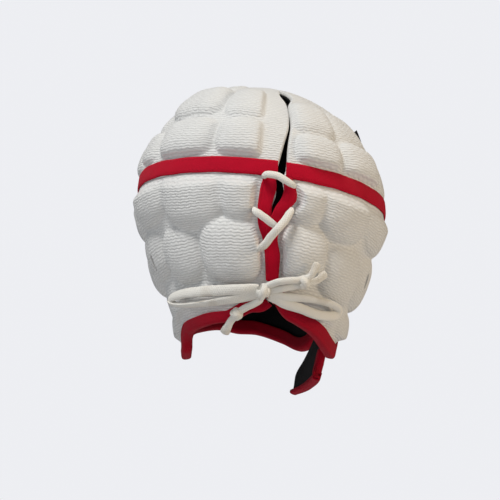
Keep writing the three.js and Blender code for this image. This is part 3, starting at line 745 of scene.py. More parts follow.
# The slit, the hem and the seams: the flange's clearance is in degrees, the pulls are shares
sewing = {
    "gapShare": 0.7,
    "drawnTo": 0.15,  # the sewn seams are drawn closer than the gap between solids
    "flangeClear": 0.8,
    "endPull": 0.6,
    "slitPull": 1.06,
    "rounds": 6,
    "leastRing": 0.02,
    "leastEdgeRing": 0.05,
}


def seamTurn(level):
    ring = cap["innerWidth"] / 2 * np.maximum(np.cos(climbAngle(level)), sewing["leastRing"])
    return np.degrees(layers["gap"] * sewing["gapShare"] / ring)


def slitEdge(side, level):
    share = level / cap["crownArc"]
    return side * lookUp(slitRows, 1, share) + lookUp(slitRows, 2, share)


def hemLevel(turn):
    drop = np.where(turn < 0, lookUp(hemRows, 1, np.abs(turn)), lookUp(hemRows, 2, np.abs(turn)))
    return -cap["skirtDepth"] * drop


def ringRadius(turn, level):
    step = innerPoint(turn + probe, level) - innerPoint(turn - probe, level)
    return np.linalg.norm(step, axis=-1) / np.radians(2 * probe)


def tightEnds(u, share=sewing["endPull"]):
    return (1 - share) * u + share * u * u * (3 - 2 * u)


# Where the flat flange beside the slit ends
def flangeTurn(side, level):
    way = np.clip((placketTop - level) / (placketTop - placketBottom), 0, 1)
    edge = lookUp(leftPlacket, 1, way) if side < 0 else lookUp(rightPlacket, 2, way)
    return side * edge + sewing["flangeClear"]


def drawnSeam(level):
    return sewing["drawnTo"] * seamTurn(level)


def panelTurn(side, u, level):
    start = slitEdge(side, level)
    return side * (start + (180 - drawnSeam(level) - start) * u)


def skirtPlace(side, u, v):
    share = tightEnds(u) ** sewing["slitPull"]
    level = np.full_like(u, seamLevel)
    for step in range(sewing["rounds"]):
        turn = panelTurn(side, share, level)
        low = hemLevel(turn)
        level = low + (seamLevel - low) * v
    return turn, level


def crownPlace(side, u, v, front):
    low = seamLevel + 2 * layers["gap"]
    level = low + (cap["crownCover"] * cap["crownArc"] - low) * v
    start = slitEdge(side, level)
    split = cap["sideSeam"] * (180 - start) + start
    if front:
        first, last = split + drawnSeam(level), 180 - drawnSeam(level)
    else:
        first, last = start, split - drawnSeam(level)
    return side * (first + (last - first) * tightEnds(u)), level


# How far a place lies from the edge of its panel, in millimetres
def edgeDistance(turn, first, last, level):
    ring = np.maximum(np.cos(climbAngle(level)), sewing["leastEdgeRing"])
    return np.radians(np.minimum(np.abs(turn - first), np.abs(last - turn))) * cap["innerWidth"] / 2 * ring


# The ear vents' turn and drop on each side, and how far the cut reaches in and out
earVents = {
    "left": (80, 0.44),
    "right": (68, 0.4),
    "height": 11,
    "width": 3.4,
    "sides": 24,
    "inwards": 0.9,
    "outwards": 6,
}


def ventRing(side, word, height):
    turn, drop = earVents[word]
    angle = np.linspace(0, 2 * math.pi, earVents["sides"], endpoint=False)
    across = np.degrees(np.cos(angle) * earVents["width"] / cap["innerWidth"])
    level = -drop * cap["skirtDepth"] + np.sin(angle) * earVents["height"] / 2
    return capPoint(side * turn + across, level, height)


# Cuts the vent through the padded panel only
def cutVent(piece, side, word):
    bm = bmesh.new()
    rings = []
    for height in (panelInside - earVents["inwards"], channelTop + layers["pad"] + earVents["outwards"]):
        rings.append([bm.verts.new(p) for p in ventRing(side, word, height)])
    for ring in rings:
        for k in range(len(ring)):
            bm.edges.new((ring[k], ring[(k + 1) % len(ring)]))
    bmesh.ops.bridge_loops(bm, edges=bm.edges[:])
    bmesh.ops.holes_fill(bm, edges=bm.edges[:])
    bmesh.ops.recalc_face_normals(bm, faces=bm.faces[:])
    mesh = bpy.data.meshes.new("vent_cutter")
    bm.to_mesh(mesh)
    bm.free()
    cutter = bpy.data.objects.new("vent_cutter", mesh)
    bpy.context.scene.collection.objects.link(cutter)
    cut = piece.modifiers.new("vent", "BOOLEAN")
    cut.operation = "DIFFERENCE"
    cut.solver = "MANIFOLD"
    cut.object = cutter
    graph = bpy.context.evaluated_depsgraph_get()
    made = bpy.data.meshes.new_from_object(piece.evaluated_get(graph), depsgraph=graph)
    piece.modifiers.clear()
    made.name = piece.data.name + "_cut"
    piece.data = made
    bpy.data.objects.remove(cutter)
    print("vent cut", word, len(made.vertices), "points")


# How the pads swell: lengths in millimetres, the rest shares and powers
padLook = {
    "skirt": {"squareness": 2.5, "dome": 2.3, "sides": 0.6, "spread": 1.06, "grid": (250, 96), "fill": 0.8},
    "crown": {"squareness": 3.4, "dome": 3, "sides": 0.6, "spread": 1.03, "grid": (120, 100), "fill": 0.7},
    "merge": 5,
    "droop": 2.6,
    "crownDroop": 0.7,
    "droopPower": 1.5,
    "lumps": (0.4, 24, 1.3),  # a wave's height, length and seed
    "pucker": (0.2, 7, 4.1),
    "puckerWidth": 0.14,
    "edgeRadius": 1.6,
    "edgeShare": 0.25,
    "bindingClear": 1,
    "skirtTapeClear": 0.5,
    "crownTapeClear": 1.6,
    "smoothing": 2,
}


def cushionLift(pads, turn, place, look):
    total = 0
    rim = np.full_like(turn, np.inf)
    for middle, up, halfTurn, halfUp, rise in pads:
        a = np.abs(turn - middle) / halfTurn / look["spread"]
        b = np.abs(place - up) / halfUp / look["spread"]
        edge = (a ** look["squareness"] + b ** look["squareness"]) ** (1 / look["squareness"])
        one = rise * np.maximum(1 - edge ** look["dome"], 0) ** look["sides"]
        total = total + one ** padLook["merge"]
        rim = np.minimum(rim, np.abs(edge - 1))
    return total ** (1 / padLook["merge"]) * layers["pad"], rim


clothRadius = {"cover": 88, "band": 92, "hem": 70}


def clothMap(turn, level):
    return np.radians(turn) * clothRadius["cover"], level


# A padded panel: pads stand out of a thin channel layer, the inside is smooth
def coverHeights(turn, level, lift, rim, edge):
    x, y = clothMap(turn, level)
    lumps = ripple(x, y, *padLook["lumps"]) * np.clip(lift / layers["pad"], 0, 1)
    pucker = ripple(x, y, *padLook["pucker"]) * np.exp(-(rim / padLook["puckerWidth"]) ** 2)
    rounding = roundOff(edge, padLook["edgeRadius"])
    channel = layers["channel"] * (padLook["edgeShare"] + (1 - padLook["edgeShare"]) * rounding)
    return panelInside + channel + (lift + lumps + pucker) * rounding


def slitFade(side, turn, level):
    away = np.radians(side * turn - flangeTurn(side, level)) * cap["innerWidth"] / 2
    return ease(away, layers["pad"] / 2)


def coverPoints(turn, level, droop, height, outside):
    points = capPoint(turn, level - droop, height)
    points[~outside] = capPoint(turn, level, panelInside)[~outside]
    return points


def sidePanel(side, word):
    pads = (leftSkirtPads if side < 0 else rightSkirtPads) + frontSkirtPads
    look = padLook["skirt"]

    def place(u, v, outside):
        turn, level = skirtPlace(side, u, v)
        lift, rim = cushionLift(pads, side * turn, -level / cap["skirtDepth"], look)
        fade = ease(level - hemLevel(turn) - tape["binding"] - padLook["bindingClear"], layers["pad"])
        fade = fade * ease(tapeBottom - padLook["skirtTapeClear"] - level, tape["width"] / 2)
        lift = lift * fade * slitFade(side, turn, level)
        edge = edgeDistance(side * turn, slitEdge(side, level), 180 - seamTurn(level), level)
        height = coverHeights(turn, level, lift, rim, edge)
        droop = padLook["droop"] * (lift / layers["pad"]) ** padLook["droopPower"]
        return coverPoints(turn, level, droop, height, outside)

    def cloth(u, v):
        return clothMap(*skirtPlace(side, u, v))

    mesh = patchMesh(f"side_cover_{word}", *look["grid"], place, cloth, padLook["smoothing"])
    piece = finishPiece(f"side_cover_{word}", mesh, coverCloth, [f"side_panel_{word}"])
    cutVent(piece, side, word)


def crownPanel(side, front, word):
    pads = frontCrownPads if front else leftCrownPads if side < 0 else rightCrownPads
    look = padLook["crown"]
    end = "front" if front else "rear"

    def place(u, v, outside):
        turn, level = crownPlace(side, u, v, front)
        lift, rim = cushionLift(pads, side * turn, level / cap["crownArc"], look)
        fade = ease(level - tapeTop - padLook["crownTapeClear"], tape["width"] / 4)
        lift = lift * fade * slitFade(side, turn, level)
        first = side * crownPlace(side, np.zeros_like(u), v, front)[0]
        last = side * crownPlace(side, np.ones_like(u), v, front)[0]
        edge = edgeDistance(side * turn, first, last, level)
        height = coverHeights(turn, level, lift, rim, edge)
        droop = padLook["droop"] * (lift / layers["pad"]) ** padLook["droopPower"]
        return coverPoints(turn, level, droop * padLook["crownDroop"], height, outside)

    def cloth(u, v):
        return clothMap(*crownPlace(side, u, v, front))

    mesh = patchMesh(f"crown_cover_{end}_{word}", *look["grid"], place, cloth, padLook["smoothing"])
    node = f"crown_panel_{end}_{word}"
    piece = finishPiece(f"crown_cover_{end}_{word}", mesh, coverCloth, [node])


for side, word in ((-1, "left"), (1, "right")):
    sidePanel(side, word)
    crownPanel(side, False, word)
    crownPanel(side, True, word)
print("padded panels made")

# Flat size and area in metres, steps across and down, the rest in millimetres
liningSheets = {
    "side": {"flat": (0.27, 0.1), "area": 0.024, "grid": (120, 44)},
    "crown": {"flat": (0.135, 0.125), "area": 0.0095, "grid": (56, 50)},
    "wave": (0.12, 18, 2.2),
    "clear": 0.1,
}


def liningSheet(side, word, kind):
    onSide = kind == "side"
    size = liningSheets["side" if onSide else "crown"]

    def where(u, v):
        return skirtPlace(side, u, v) if onSide else crownPlace(side, u, v, kind == "front")

    def place(u, v, outside):
        turn, level = where(u, v)
        height = np.where(outside, layers["lining"], 0)
        height = height + ripple(*clothMap(turn, level), *liningSheets["wave"])
        return capPoint(turn, level, np.minimum(height, panelInside - liningSheets["clear"]))

    def cloth(u, v):
        return clothMap(*where(u, v))

    node = f"side_lining_{word}" if onSide else f"crown_lining_{kind}_{word}"
    mesh = patchMesh(node + "_cloth", *size["grid"], place, cloth)
    piece = finishPiece(node + "_cloth", mesh, liningCloth, [node])


for side, word in ((-1, "left"), (1, "right")):
    for kind in ("side", "rear", "front"):
        liningSheet(side, word, kind)
print("linings made")

# Red tapes: flat sizes in metres, the rest in millimetres, waves as height, length and seed
bandLook = {
    "lift": 0.42,
    "edgeRoll": 0.35,
    "rollPower": 6,
    "wave": (0.12, 16, 0.7),
    "sway": (0.5, 40, 2),
    "endPull": 0.3,
    "flat": (0.305, 0.011),
    "grid": (260, 12),
}


def crownTape(side, word):
    low = channelTop + bandLook["lift"] + bandLook["wave"][0]

    def where(u):
        return panelTurn(side, tightEnds(u, bandLook["endPull"]), np.full_like(u, seamLevel))

    def place(u, v, outside):
        level = tapeBottom + (tapeTop - tapeBottom) * v
        turn = where(u)
        x, y = clothMap(turn, level)
        roll = bandLook["edgeRoll"] * np.abs(2 * v - 1) ** bandLook["rollPower"]
        thick = np.where(outside, tape["thickness"] - roll, 0)
        height = low + thick + ripple(x, y, *bandLook["wave"])
        return capPoint(turn, level + ripple(x, 0 * y, *bandLook["sway"]), height)

    def cloth(u, v):
        return np.radians(where(u)) * clothRadius["band"], v * tape["width"]

    mesh = patchMesh(f"crown_band_{word}", *bandLook["grid"], place, cloth)
    piece = finishPiece(f"crown_band_{word}", mesh, crownTapeCloth, [f"crown_tape_{word}"])


# A wall's share is its part of the folded section, and the rest is the bend round the edge.
# The left tape gets narrower from the first of its narrowFrom turns on, and more so from the second.
bindingLook = {
    "clear": 0.5,
    "under": 0.66,
    "wall": 0.36,
    "lip": 0.5,
    "nose": 1.1,
    "bendPower": 0.6,
    "wave": (0.12, 14, 3.3),
    "waveRadius": 60,
    "waveAcross": 20,
    "wobble": (0.35, 30, 1.1),
    "wobbleOver": 0.3,
    "narrow": (0.25, 0.35),
    "narrowFrom": (10, 84),
    "narrowOver": (12, 8),
    "endPull": 0.3,
    "flat": (0.27, 0.021),
    "grid": (240, 28),
}


# The folded section, from the outer edge round the hem to the inner one: level above the hem, height
def bindingSection(v):
    wall = bindingLook["wall"]
    under = -bindingLook["under"]
    outside = channelTop + bindingLook["clear"]
    wide = tape["binding"]
    share = np.minimum(v, 1 - v) / wall
    angle = np.clip((v - wall) / (1 - 2 * wall), 0, 1) * math.pi
    bend = (angle > 0) & (angle < math.pi)
    level = np.where(bend, -bindingLook["nose"] * np.sin(angle), (wide + bindingLook["lip"]) * (1 - share))
    level = level - bindingLook["lip"]
    swing = np.sign(np.cos(angle)) * np.abs(np.cos(angle)) ** bindingLook["bendPower"]
    return level, (outside + under) / 2 + (outside - under) / 2 * swing


def hemBinding(side, word):
    look = bindingLook

    def where(u):
        return skirtPlace(side, tightEnds(u, look["endPull"]), np.zeros_like(u))

    def place(u, v, outside):
        turn, hem = where(u)
        level, height = bindingSection(v)
        run = np.radians(1) * ringRadius(turn, hem)  # millimetres in a degree
        slope = (hemLevel(turn + 1) - hemLevel(turn - 1)) / 2 / run
        tilt = np.sqrt(1 + slope * slope)
        wallSide = np.sign(0.5 - v) * np.clip(np.abs(v - 0.5) / (0.5 - look["wall"]), 0, 1)
        thick = np.where(outside, tape["thickness"], 0.0)
        x = np.radians(turn) * look["waveRadius"]
        wave = ripple(x, v * look["waveAcross"], *look["wave"]) * np.abs(wallSide)
        wobble = ripple(x, 0 * v, *look["wobble"]) * ease(np.abs(v - 0.5), look["wobbleOver"])
        level = level - thick * np.sqrt(np.clip(1 - wallSide ** 2, 0, 1)) + wobble
        if side < 0:
            early, late = [ease(-turn - look["narrowFrom"][k], look["narrowOver"][k]) for k in (0, 1)]
            narrow = (look["narrow"][0] + look["narrow"][1] * late) * early
            level = np.where((level > 0) & (v < 0.5), level * (1 - narrow), level)
        turn = turn - level * slope / tilt / run
        return capPoint(turn, hem + level / tilt, height + thick * wallSide + wave)

    def cloth(u, v):
        y = np.minimum(v, 1 - v) / look["wall"] * tape["binding"]
        return np.radians(where(u)[0]) * clothRadius["hem"], y

    mesh = patchMesh(f"hem_tape_{word}", *look["grid"], place, cloth)
    piece = finishPiece(f"hem_tape_{word}", mesh, bindingCloth, [f"hem_binding_{word}"])


# The right tape lies on the left one, and its top corner is folded outwards
placketLook = {
    "clear": 0.5,
    "leftStep": 0,
    "rightStep": 1.6,
    "leftFold": 0,
    "rightFold": 3.4,
    "foldWay": 0.42,
    "foldEdge": 0.35,
    "archPower": 0.8,
    "edgeRadius": 0.9,
    "edgeShare": 0.3,
    "leftWave": (0.18, 15, 1.9),
    "rightWave": (0.18, 15, 2.7),
    "degree": 1.6,  # millimetres across one degree here
    "length": 66,
    "flat": (0.011, 0.066),
    "grid": (14, 70),
}


def placketTape(rows, word):
    look = placketLook
    waves = look[word + "Wave"]

    def place(u, v, outside):
        level = placketTop + (placketBottom - placketTop) * v
        first, last = lookUp(rows, 1, v), lookUp(rows, 2, v)
        turn = first + (last - first) * u
        arch = np.sin(math.pi * np.clip(u, 0, 1)) ** look["archPower"]
        fold = ease(look["foldWay"] - v, look["foldWay"]) * look[word + "Fold"]
        fold = fold * (look["foldEdge"] + (1 - look["foldEdge"]) * arch)
        rounding = roundOff(np.minimum(u, 1 - u) * (last - first) * look["degree"], look["edgeRadius"])
        thick = tape["thickness"] * (look["edgeShare"] + (1 - look["edgeShare"]) * rounding)
        height = channelTop + look["clear"] + look[word + "Step"] + fold + np.where(outside, thick, 0)
        return capPoint(turn, level, height + ripple(turn * look["degree"], level, *waves) + waves[0])

    def cloth(u, v):
        return v * look["length"], u * tape["width"]

    mesh = patchMesh(f"placket_band_{word}", *look["grid"], place, cloth)
    piece = finishPiece(f"placket_band_{word}", mesh, crownTapeCloth, [f"placket_tape_{word}"])


for side, word in ((-1, "left"), (1, "right")):
    crownTape(side, word)
    hemBinding(side, word)
placketTape(leftPlacket, "left")
placketTape(rightPlacket, "right")
print("tapes made")

# Chin tab: way down, back, front in degrees, drop, slope
chinTab = [
    (0, 82, 106, 0.74, 0.02),
    (0.35, 82, 112, 0.86, 0.01),
    (0.7, 83, 121, 0.975, 0.02),
    (1, 76, 119, 1.06, 0.06),
]
tabLook = {
    "outside": -2.22,
    "thickness": 3,
    "across": 26,
    "down": 36,
    "edgeRadius": 1.5,
    "edgeShare": 0.3,
    "wave": (0.5, 22, 1.4),
    "grid": (36, 46),
    "fill": 0.4,
    "binding": 4.4,
    "point": 0.7,
    "backFrom": 0.36,
    "backDegrees": 1.28,  # of turn in one millimetre
    "bend": 0.3,
    "bendPower": 0.7,
    "clear": 0.45,
    "nose": 0.3,
    "tapeMap": (28, 18),
    "tapeGrid": (40, 20),
    "endFlat": (0.034, 0.026),
    "backFlat": (0.031, 0.018),
}


def tabPlace(u, v):
    drop = lookUp(chinTab, 3, v) + lookUp(chinTab, 4, v) * u
    back, front = lookUp(chinTab, 1, v), lookUp(chinTab, 2, v)
    return back + (front - back) * u, -drop * cap["skirtDepth"]


def chinTabBody():
    look = tabLook

    def place(u, v, outside):
        turn, level = tabPlace(u, v)
        x, y = cloth(u, v)
        edge = np.minimum(np.minimum(x, look["across"] - x), np.minimum(y, look["down"] - y))
        share = look["edgeShare"] + (1 - look["edgeShare"]) * roundOff(edge, look["edgeRadius"])
        half = look["thickness"] / 2 * share
        middle = look["outside"] - look["thickness"] / 2 - ripple(x, y, *look["wave"])
        return capPoint(turn, level, middle + np.where(outside, half, -half))

    def cloth(u, v):
        return u * look["across"], v * look["down"]

    mesh = patchMesh("chin_tab", *look["grid"], place, cloth)
    piece = finishPiece("chin_tab", mesh, liningCloth, ["chin_tab_right"])


# Folded round the tab's end, or round its lower back edge
def chinTabBinding(word):
    look = tabLook
    end = word == "end"

    def place(u, v, outside):
        down = look["backFrom"] + (1 - look["backFrom"]) * u
        turn, level = tabPlace(u, np.ones_like(u)) if end else tabPlace(0 * u, down)
        thick = np.where(outside, tape["thickness"], 0)
        way = 2 * v - 1
        wall = np.clip((np.abs(way) - look["bend"]) / (1 - look["bend"]), 0, 1)
        bend = np.clip(way / look["bend"], -1, 1) * math.pi / 2
        wide = look["binding"] * (1 - look["point"] * u if end else 1)
        inwards = np.where(wall > 0, wall * wide, -(look["nose"] + thick) * np.cos(bend))
        swing = np.sign(np.sin(bend)) * np.abs(np.sin(bend)) ** look["bendPower"]
        half = look["thickness"] / 2 + look["clear"] + thick
        height = look["outside"] - look["thickness"] / 2 - half * swing
        x = (u if end else 0 * u) * look["across"]
        height = height - ripple(x, down * look["down"], *look["wave"])
        if end:
            return capPoint(turn, level + inwards, height)
        return capPoint(turn + inwards * look["backDegrees"], level, height)

    def cloth(u, v):
        return u * look["tapeMap"][0], np.abs(v - 0.5) * look["tapeMap"][1]

    name = f"chin_tab_{word}_tape"
    mesh = patchMesh(name, *look["tapeGrid"], place, cloth)
    piece = finishPiece(name, mesh, bindingCloth, [f"chin_tab_binding_{word}"])


chinTabBody()
chinTabBinding("end")
chinTabBinding("back")
print("chin tab made")

# The point of lining that stands out of the crown seam: low and high as shares of the crown
foldLook = {
    "low": 0.44,
    "high": 0.51,
    "width": 1.2,
    "lowShare": 0.5,
    "across": 10,
    "down": 11,
    "grid": (12, 12),
    "flat": (0.011, 0.011),
}


def liningFold():
    look = foldLook

    def place(u, v, outside):
        level = (look["low"] + (look["high"] - look["low"]) * v) * cap["crownArc"]
        start = slitEdge(1, level)
        split = cap["sideSeam"] * (180 - start) + start
        reach = layers["channel"] + layers["pad"] * (look["lowShare"] + (1 - look["lowShare"]) * v)
        wall = np.where(outside, look["width"], -look["width"])
        return capPoint(split + wall * seamTurn(level), level, panelInside + reach * u)

    def cloth(u, v):
        return u * look["across"], v * look["down"]

    mesh = patchMesh("lining_edge", *look["grid"], place, cloth)
    piece = finishPiece("lining_edge", mesh, liningCloth, ["lining_fold"])


liningFold()

# Laces: turn, drop as a share of the skirt depth, lift as a share of a full pad's top
laceRoutes = {
    "lacing_bar_top": [
        (-8.4, -0.004, 0.4), (-8.1, -0.008, 0.7), (-7.4, -0.012, 0.85), (-5.5, -0.012, 0.9),
        (-3, -0.008, 0.93), (-0.5, 0, 0.93), (2, 0.009, 0.9), (3.8, 0.021, 0.8),
        (4.2, 0.026, 0.5),
    ],
    "lacing_cross_under": [
        (-11.8, 0.184, 0.42), (-11.4, 0.19, 0.75), (-10.4, 0.2, 0.92), (-8.5, 0.214, 0.96),
        (-6, 0.234, 0.93), (-3.5, 0.254, 0.86), (-1, 0.272, 0.82), (0.5, 0.285, 0.8),
    ],
    "lacing_cross_over": [
        (4.6, 0.156, 0.5), (4.2, 0.166, 0.77), (3.2, 0.188, 0.94), (1.2, 0.232, 1.1),
        (-1.5, 0.281, 1.25), (-4, 0.326, 1.15), (-6.2, 0.371, 1.03), (-8.6, 0.398, 0.85),
        (-9.2, 0.403, 0.5),
    ],
    "bow_loop_left": [
        (-9, 0.62, 0.98), (-11.5, 0.618, 1.1), (-18, 0.621, 1.3), (-27.5, 0.627, 1.33),
        (-39, 0.632, 1.27), (-51.5, 0.636, 1.22), (-62.5, 0.645, 1.18), (-68, 0.66, 1.17),
        (-64, 0.69, 1.18), (-52, 0.708, 1.21), (-39.5, 0.706, 1.25), (-27, 0.69, 1.25),
        (-19, 0.675, 1.17), (-12.5, 0.655, 1.04), (-9.5, 0.64, 0.95),
    ],
    "bow_loop_right": [
        (-4.5, 0.64, 0.92), (-1, 0.648, 0.96), (5.5, 0.647, 1.05), (13.5, 0.636, 1.1),
        (23, 0.63, 1.12), (32, 0.632, 1.12), (38, 0.645, 1.12), (38.5, 0.68, 1.1),
        (33, 0.706, 1.08), (23, 0.716, 1.05), (13.5, 0.7, 1.0), (5.5, 0.69, 0.95),
        (0, 0.668, 0.92), (-4.5, 0.652, 0.9),
    ],
    "bow_tail_upper": [
        (-5.5, 0.6, 0.98), (-3, 0.583, 1.15), (0.5, 0.56, 1.4), (5, 0.545, 1.48),
        (8.5, 0.537, 1.46), (12, 0.525, 1.45), (14, 0.508, 1.52), (15.3, 0.482, 1.57),
        (16.2, 0.451, 1.57), (17, 0.42, 1.55),
    ],
    "bow_tail_lower": [
        (-5, 0.632, 0.93), (-2, 0.618, 1.03), (2, 0.6, 1.24), (6, 0.583, 1.27),
        (8.8, 0.572, 1.28), (12.5, 0.556, 1.3), (16.5, 0.536, 1.3), (19.5, 0.518, 1.3),
        (21.5, 0.494, 1.29), (24, 0.469, 1.27),
    ],
    "end_tail": [
        (-8, 0.665, 0.9), (-9.5, 0.688, 0.92), (-12.5, 0.71, 0.89), (-16.5, 0.732, 0.88),
        (-19.5, 0.752, 0.88), (-23, 0.785, 0.88), (-26.5, 0.822, 0.88), (-29, 0.862, 0.87),
        (-32, 0.905, 0.87),
    ],
}
# turn, drop, lift, width, and the way its axis points as turn and drop
knots = {
    "bow_knot": (-7, 0.632, 1.0, 12, 3, 0.012),
    "tail_knot": (12, 0.543, 1.4, 9.6, 3, -0.03),
    "end_knot": (-22.6, 0.778, 0.9, 9, -2.5, 0.034),
}
# width, depth, tip (above 0 flares the far end, below 0 tapers both), twist in degrees, its knot
laceKinds = {
    "lacing_bar_top": (5, 4, -1, 0, None),
    "lacing_cross_under": (5.2, 4, -1, 0, None),
    "lacing_cross_over": (5.4, 4, -1, 0, None),
    "bow_loop_left": (7.2, 3.4, 0, 55, "bow_knot"),
    "bow_loop_right": (6.6, 4.2, 0, 40, "bow_knot"),
    "bow_tail_upper": (4.8, 4, 1, 0, "tail_knot"),
    "bow_tail_lower": (4.8, 4, 1, 0, "tail_knot"),
    "end_tail": (5, 4, 1.4, 0, "end_knot"),
}
# The CAD nodes that one tail with its tip stands for
tailNodes = {
    "bow_tail_upper": ["bow_tail_upper", "bow_tip_upper"],
    "bow_tail_lower": ["bow_tail_lower", "bow_tip_lower"],
    "end_tail": ["end_tail", "end_tip"],
}
# Lengths in millimetres, but for heart and step in metres
cordLook = {
    "heart": (0, 0.02, -0.1),  # a place in the hollow that a flat lace turns its back to
    "step": 0.0008,
    "leastSteps": 16,
    "sides": 20,
    "pathSteps": 40,
    "between": 24,
    "roundEnd": 2.0,
    "tipFrom": 9,
    "flareOver": 6,
    "flare": 0.22,
    "press": 0.3,
    "taper": 0.38,
    "softness": (0.05, 9, 1.9),
}


def routePoints(rows):
    turn, drop, lift = [np.array([row[k] for row in rows], float) for k in range(3)]
    return capPoint(turn, -drop * cap["skirtDepth"], lift * (channelTop + layers["pad"]))


# Even steps along a smooth line through the points
def smoothLine(points, steps):
    p = np.vstack([2 * points[0] - points[1], points, 2 * points[-1] - points[-2]])
    fine = []
    for i in range(len(points) - 1):
        a, b, c, d = p[i], p[i + 1], p[i + 2], p[i + 3]
        for t in np.linspace(0, 1, cordLook["between"], endpoint=False):
            fine.append(0.5 * (2 * b + (c - a) * t + (2 * a - 5 * b + 4 * c - d) * t * t
                               + (3 * b - a - 3 * c + d) * t ** 3))
    fine = np.array(fine + [points[-1]])
    along = np.concatenate([[0], np.cumsum(np.linalg.norm(np.diff(fine, axis=0), axis=1))])
    even = np.linspace(0, along[-1], steps + 1)
    return np.stack([np.interp(even, along, fine[:, k]) for k in range(3)], -1), along[-1]


# A closed tube: place(i, angle) gives its points at step i along it
def tubeMesh(name, steps, sides, length, place):
    mesh, u, v = flatGrid(name, steps, sides, 1)[:3]
    i = np.rint(u * steps).astype(int)
    mesh.vertices.foreach_set("co", place(i, v * 2 * math.pi).ravel())
    setCloth(mesh, i / steps * length, v * laceLook["braidsRound"] * laceLook["braid"])
    bm = bmesh.new()
    bm.from_mesh(mesh)
    bmesh.ops.remove_doubles(bm, verts=bm.verts[:], dist=patchGrid["merge"])
    bm.to_mesh(mesh)
    bm.free()
    mesh.update()
    turnOutwards(mesh)
    return mesh


# Length, width and depth are in millimetres, the line's points in metres
def laceMesh(name, line, length, width, depth, tip, twist):
    look = cordLook
    steps = len(line) - 1
    tangent = unit(np.gradient(line, axis=0))
    out = line - np.array(look["heart"])
    out = unit(out - tangent * (out * tangent).sum(1, keepdims=True))
    across = np.cross(out, tangent)

    def place(i, angle):
        share = i / steps
        gone = share * length
        left = length - gone
        size = roundOff(gone, look["roundEnd"]) * roundOff(left, look["roundEnd"])
        size = size * (1 + ripple(gone, (angle + np.radians(twist) * share) * 2, *look["softness"]))
        flare = press = 1
        if tip > 0:
            near = ease(look["tipFrom"] - left, look["flareOver"])
            flare = 1 + look["flare"] * tip * near
            press = 1 - look["press"] * min(tip, 1) * near
        if tip < 0:
            flare = 1 - look["taper"] * ease(look["tipFrom"] - np.minimum(gone, left), look["tipFrom"])
        x = width / 2 / metre * size * flare * np.cos(angle)
        y = depth / 2 / metre * size * press * np.sin(angle)
        turned = np.radians(twist) * np.sin(share * math.pi)
        dx = x * np.cos(turned) - y * np.sin(turned)
        dy = x * np.sin(turned) + y * np.cos(turned)
        return line[i] + across[i] * dx[:, None] + out[i] * dy[:, None]

    return tubeMesh(name, steps, look["sides"], length, place)


def lace(name):
    width, depth, tip, twist, knotName = laceKinds[name]
    points = routePoints(laceRoutes[name])
    path, length = smoothLine(points, cordLook["pathSteps"])
    steps = max(cordLook["leastSteps"], int(length / cordLook["step"]))
    line, length = smoothLine(points, steps)
    mesh = laceMesh(name + "_cord", line, length * metre, width, depth, tip, twist)
    piece = finishPiece(name + "_cord", mesh, laceCloth, tailNodes.get(name, [name]))
    print(name, round(length * metre, 1), "mm")


# Turns of the lace round itself, the knot's length as a share of its width, the lace's width and depth
knotLook = {
    "turns": 2.2,
    "length": 0.42,
    "lace": (4.6, 3.2),
    "steps": 96,
    "sides": 14,
    "roundness": 0.3,
    "endShare": 0.02,
    "slimShare": 1 / 30,
    "mapLength": 60,
    "softness": (0.06, 8, 2.2),
    "softPace": 0.6,
}


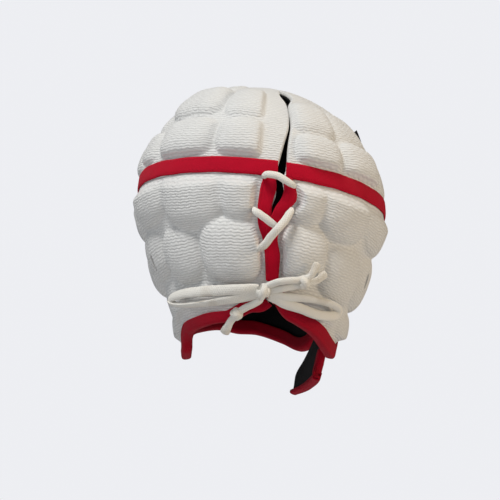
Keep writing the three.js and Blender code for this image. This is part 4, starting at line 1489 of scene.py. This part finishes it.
# A pulled knot: the lace wrapped round itself, its ends tucked in
def knotMesh(name, turn, drop, lift, width, wayTurn, wayDrop):
    look = knotLook
    steps = look["steps"]
    wide, thick = look["lace"]
    middle, ahead = routePoints([(turn, drop, lift), (turn + wayTurn, drop + wayDrop, lift)])
    axis = unit(ahead - middle)
    out = middle - np.array(cordLook["heart"])
    out = unit(out - axis * (out @ axis))
    t = np.linspace(0, 1, steps + 1)
    spin = (2 * math.pi * look["turns"] * (t - 0.5))[:, None]
    reach = np.sin(math.pi * np.clip(t, look["endShare"], 1 - look["endShare"])) ** look["roundness"]
    reach = reach[:, None] * (width - thick) / 2 / metre
    around = out * np.cos(spin) + np.cross(axis, out) * np.sin(spin)
    line = middle + axis * (t[:, None] - 0.5) * width * look["length"] / metre + around * reach
    tangent = unit(np.gradient(line, axis=0))
    flatWay = unit(np.cross(tangent, around))
    thinWay = np.cross(flatWay, tangent)

    def place(i, angle):
        slim = roundOff(np.minimum(i, steps - i) / steps, look["slimShare"])
        slim = slim * (1 + ripple(i * look["softPace"], angle, *look["softness"])) / 2 / metre
        thin = (thick * slim * np.cos(angle))[:, None]
        flat = (wide * slim * np.sin(angle))[:, None]
        return line[i] + thinWay[i] * thin + flatWay[i] * flat

    return tubeMesh(name, steps, look["sides"], look["mapLength"], place)


for name, row in knots.items():
    mesh = knotMesh(name + "_wrap", *row)
    finishPiece(name + "_wrap", mesh, laceCloth, [name])
for name in laceRoutes:
    lace(name)
print("laces made")

# The pale floor, far below, in metres: a painted glow in the backdrop's colour makes it brighter away from
# the cap
floorLook = {
    "colour": (0.8, 0.8, 0.82),
    "roughness": 0.9,
    "sheen": 0,
    "specular": 0.3,
    "height": -0.75,
    "size": 60,
    "near": 0.5,
    "far": 3,
    "glow": 0.6,
}


def addFloor():
    bm = bmesh.new()
    bmesh.ops.create_grid(bm, x_segments=1, y_segments=1, size=floorLook["size"] / 2)
    mesh = bpy.data.meshes.new("floor")
    bm.to_mesh(mesh)
    bm.free()
    floor = bpy.data.objects.new("floor", mesh)
    floor.location = (0, 0, floorLook["height"])
    bpy.context.scene.collection.objects.link(floor)
    material, shader = newMaterial("pale floor", floorLook["colour"], floorLook)
    n = Nodes(material)
    place = n.add("ShaderNodeTexCoord")
    away = n.add("ShaderNodeVectorMath", operation="LENGTH")
    n.link(place.outputs["Object"], away.inputs[0])
    rise = n.add("ShaderNodeMapRange", interpolation_type="SMOOTHSTEP")
    rise.inputs["From Min"].default_value = floorLook["near"]
    rise.inputs["From Max"].default_value = floorLook["far"]
    rise.inputs["To Max"].default_value = floorLook["glow"]
    n.link(away.outputs["Value"], rise.inputs["Value"])
    # Painted glow: the floor emits the backdrop's colour, none within near of its middle under the cap and
    # more further away
    shader.inputs["Emission Color"].default_value = (*lighting["background"], 1)
    n.link(rise.outputs[0], shader.inputs["Emission Strength"])
    mesh.materials.append(material)


addFloor()
print("floor set")
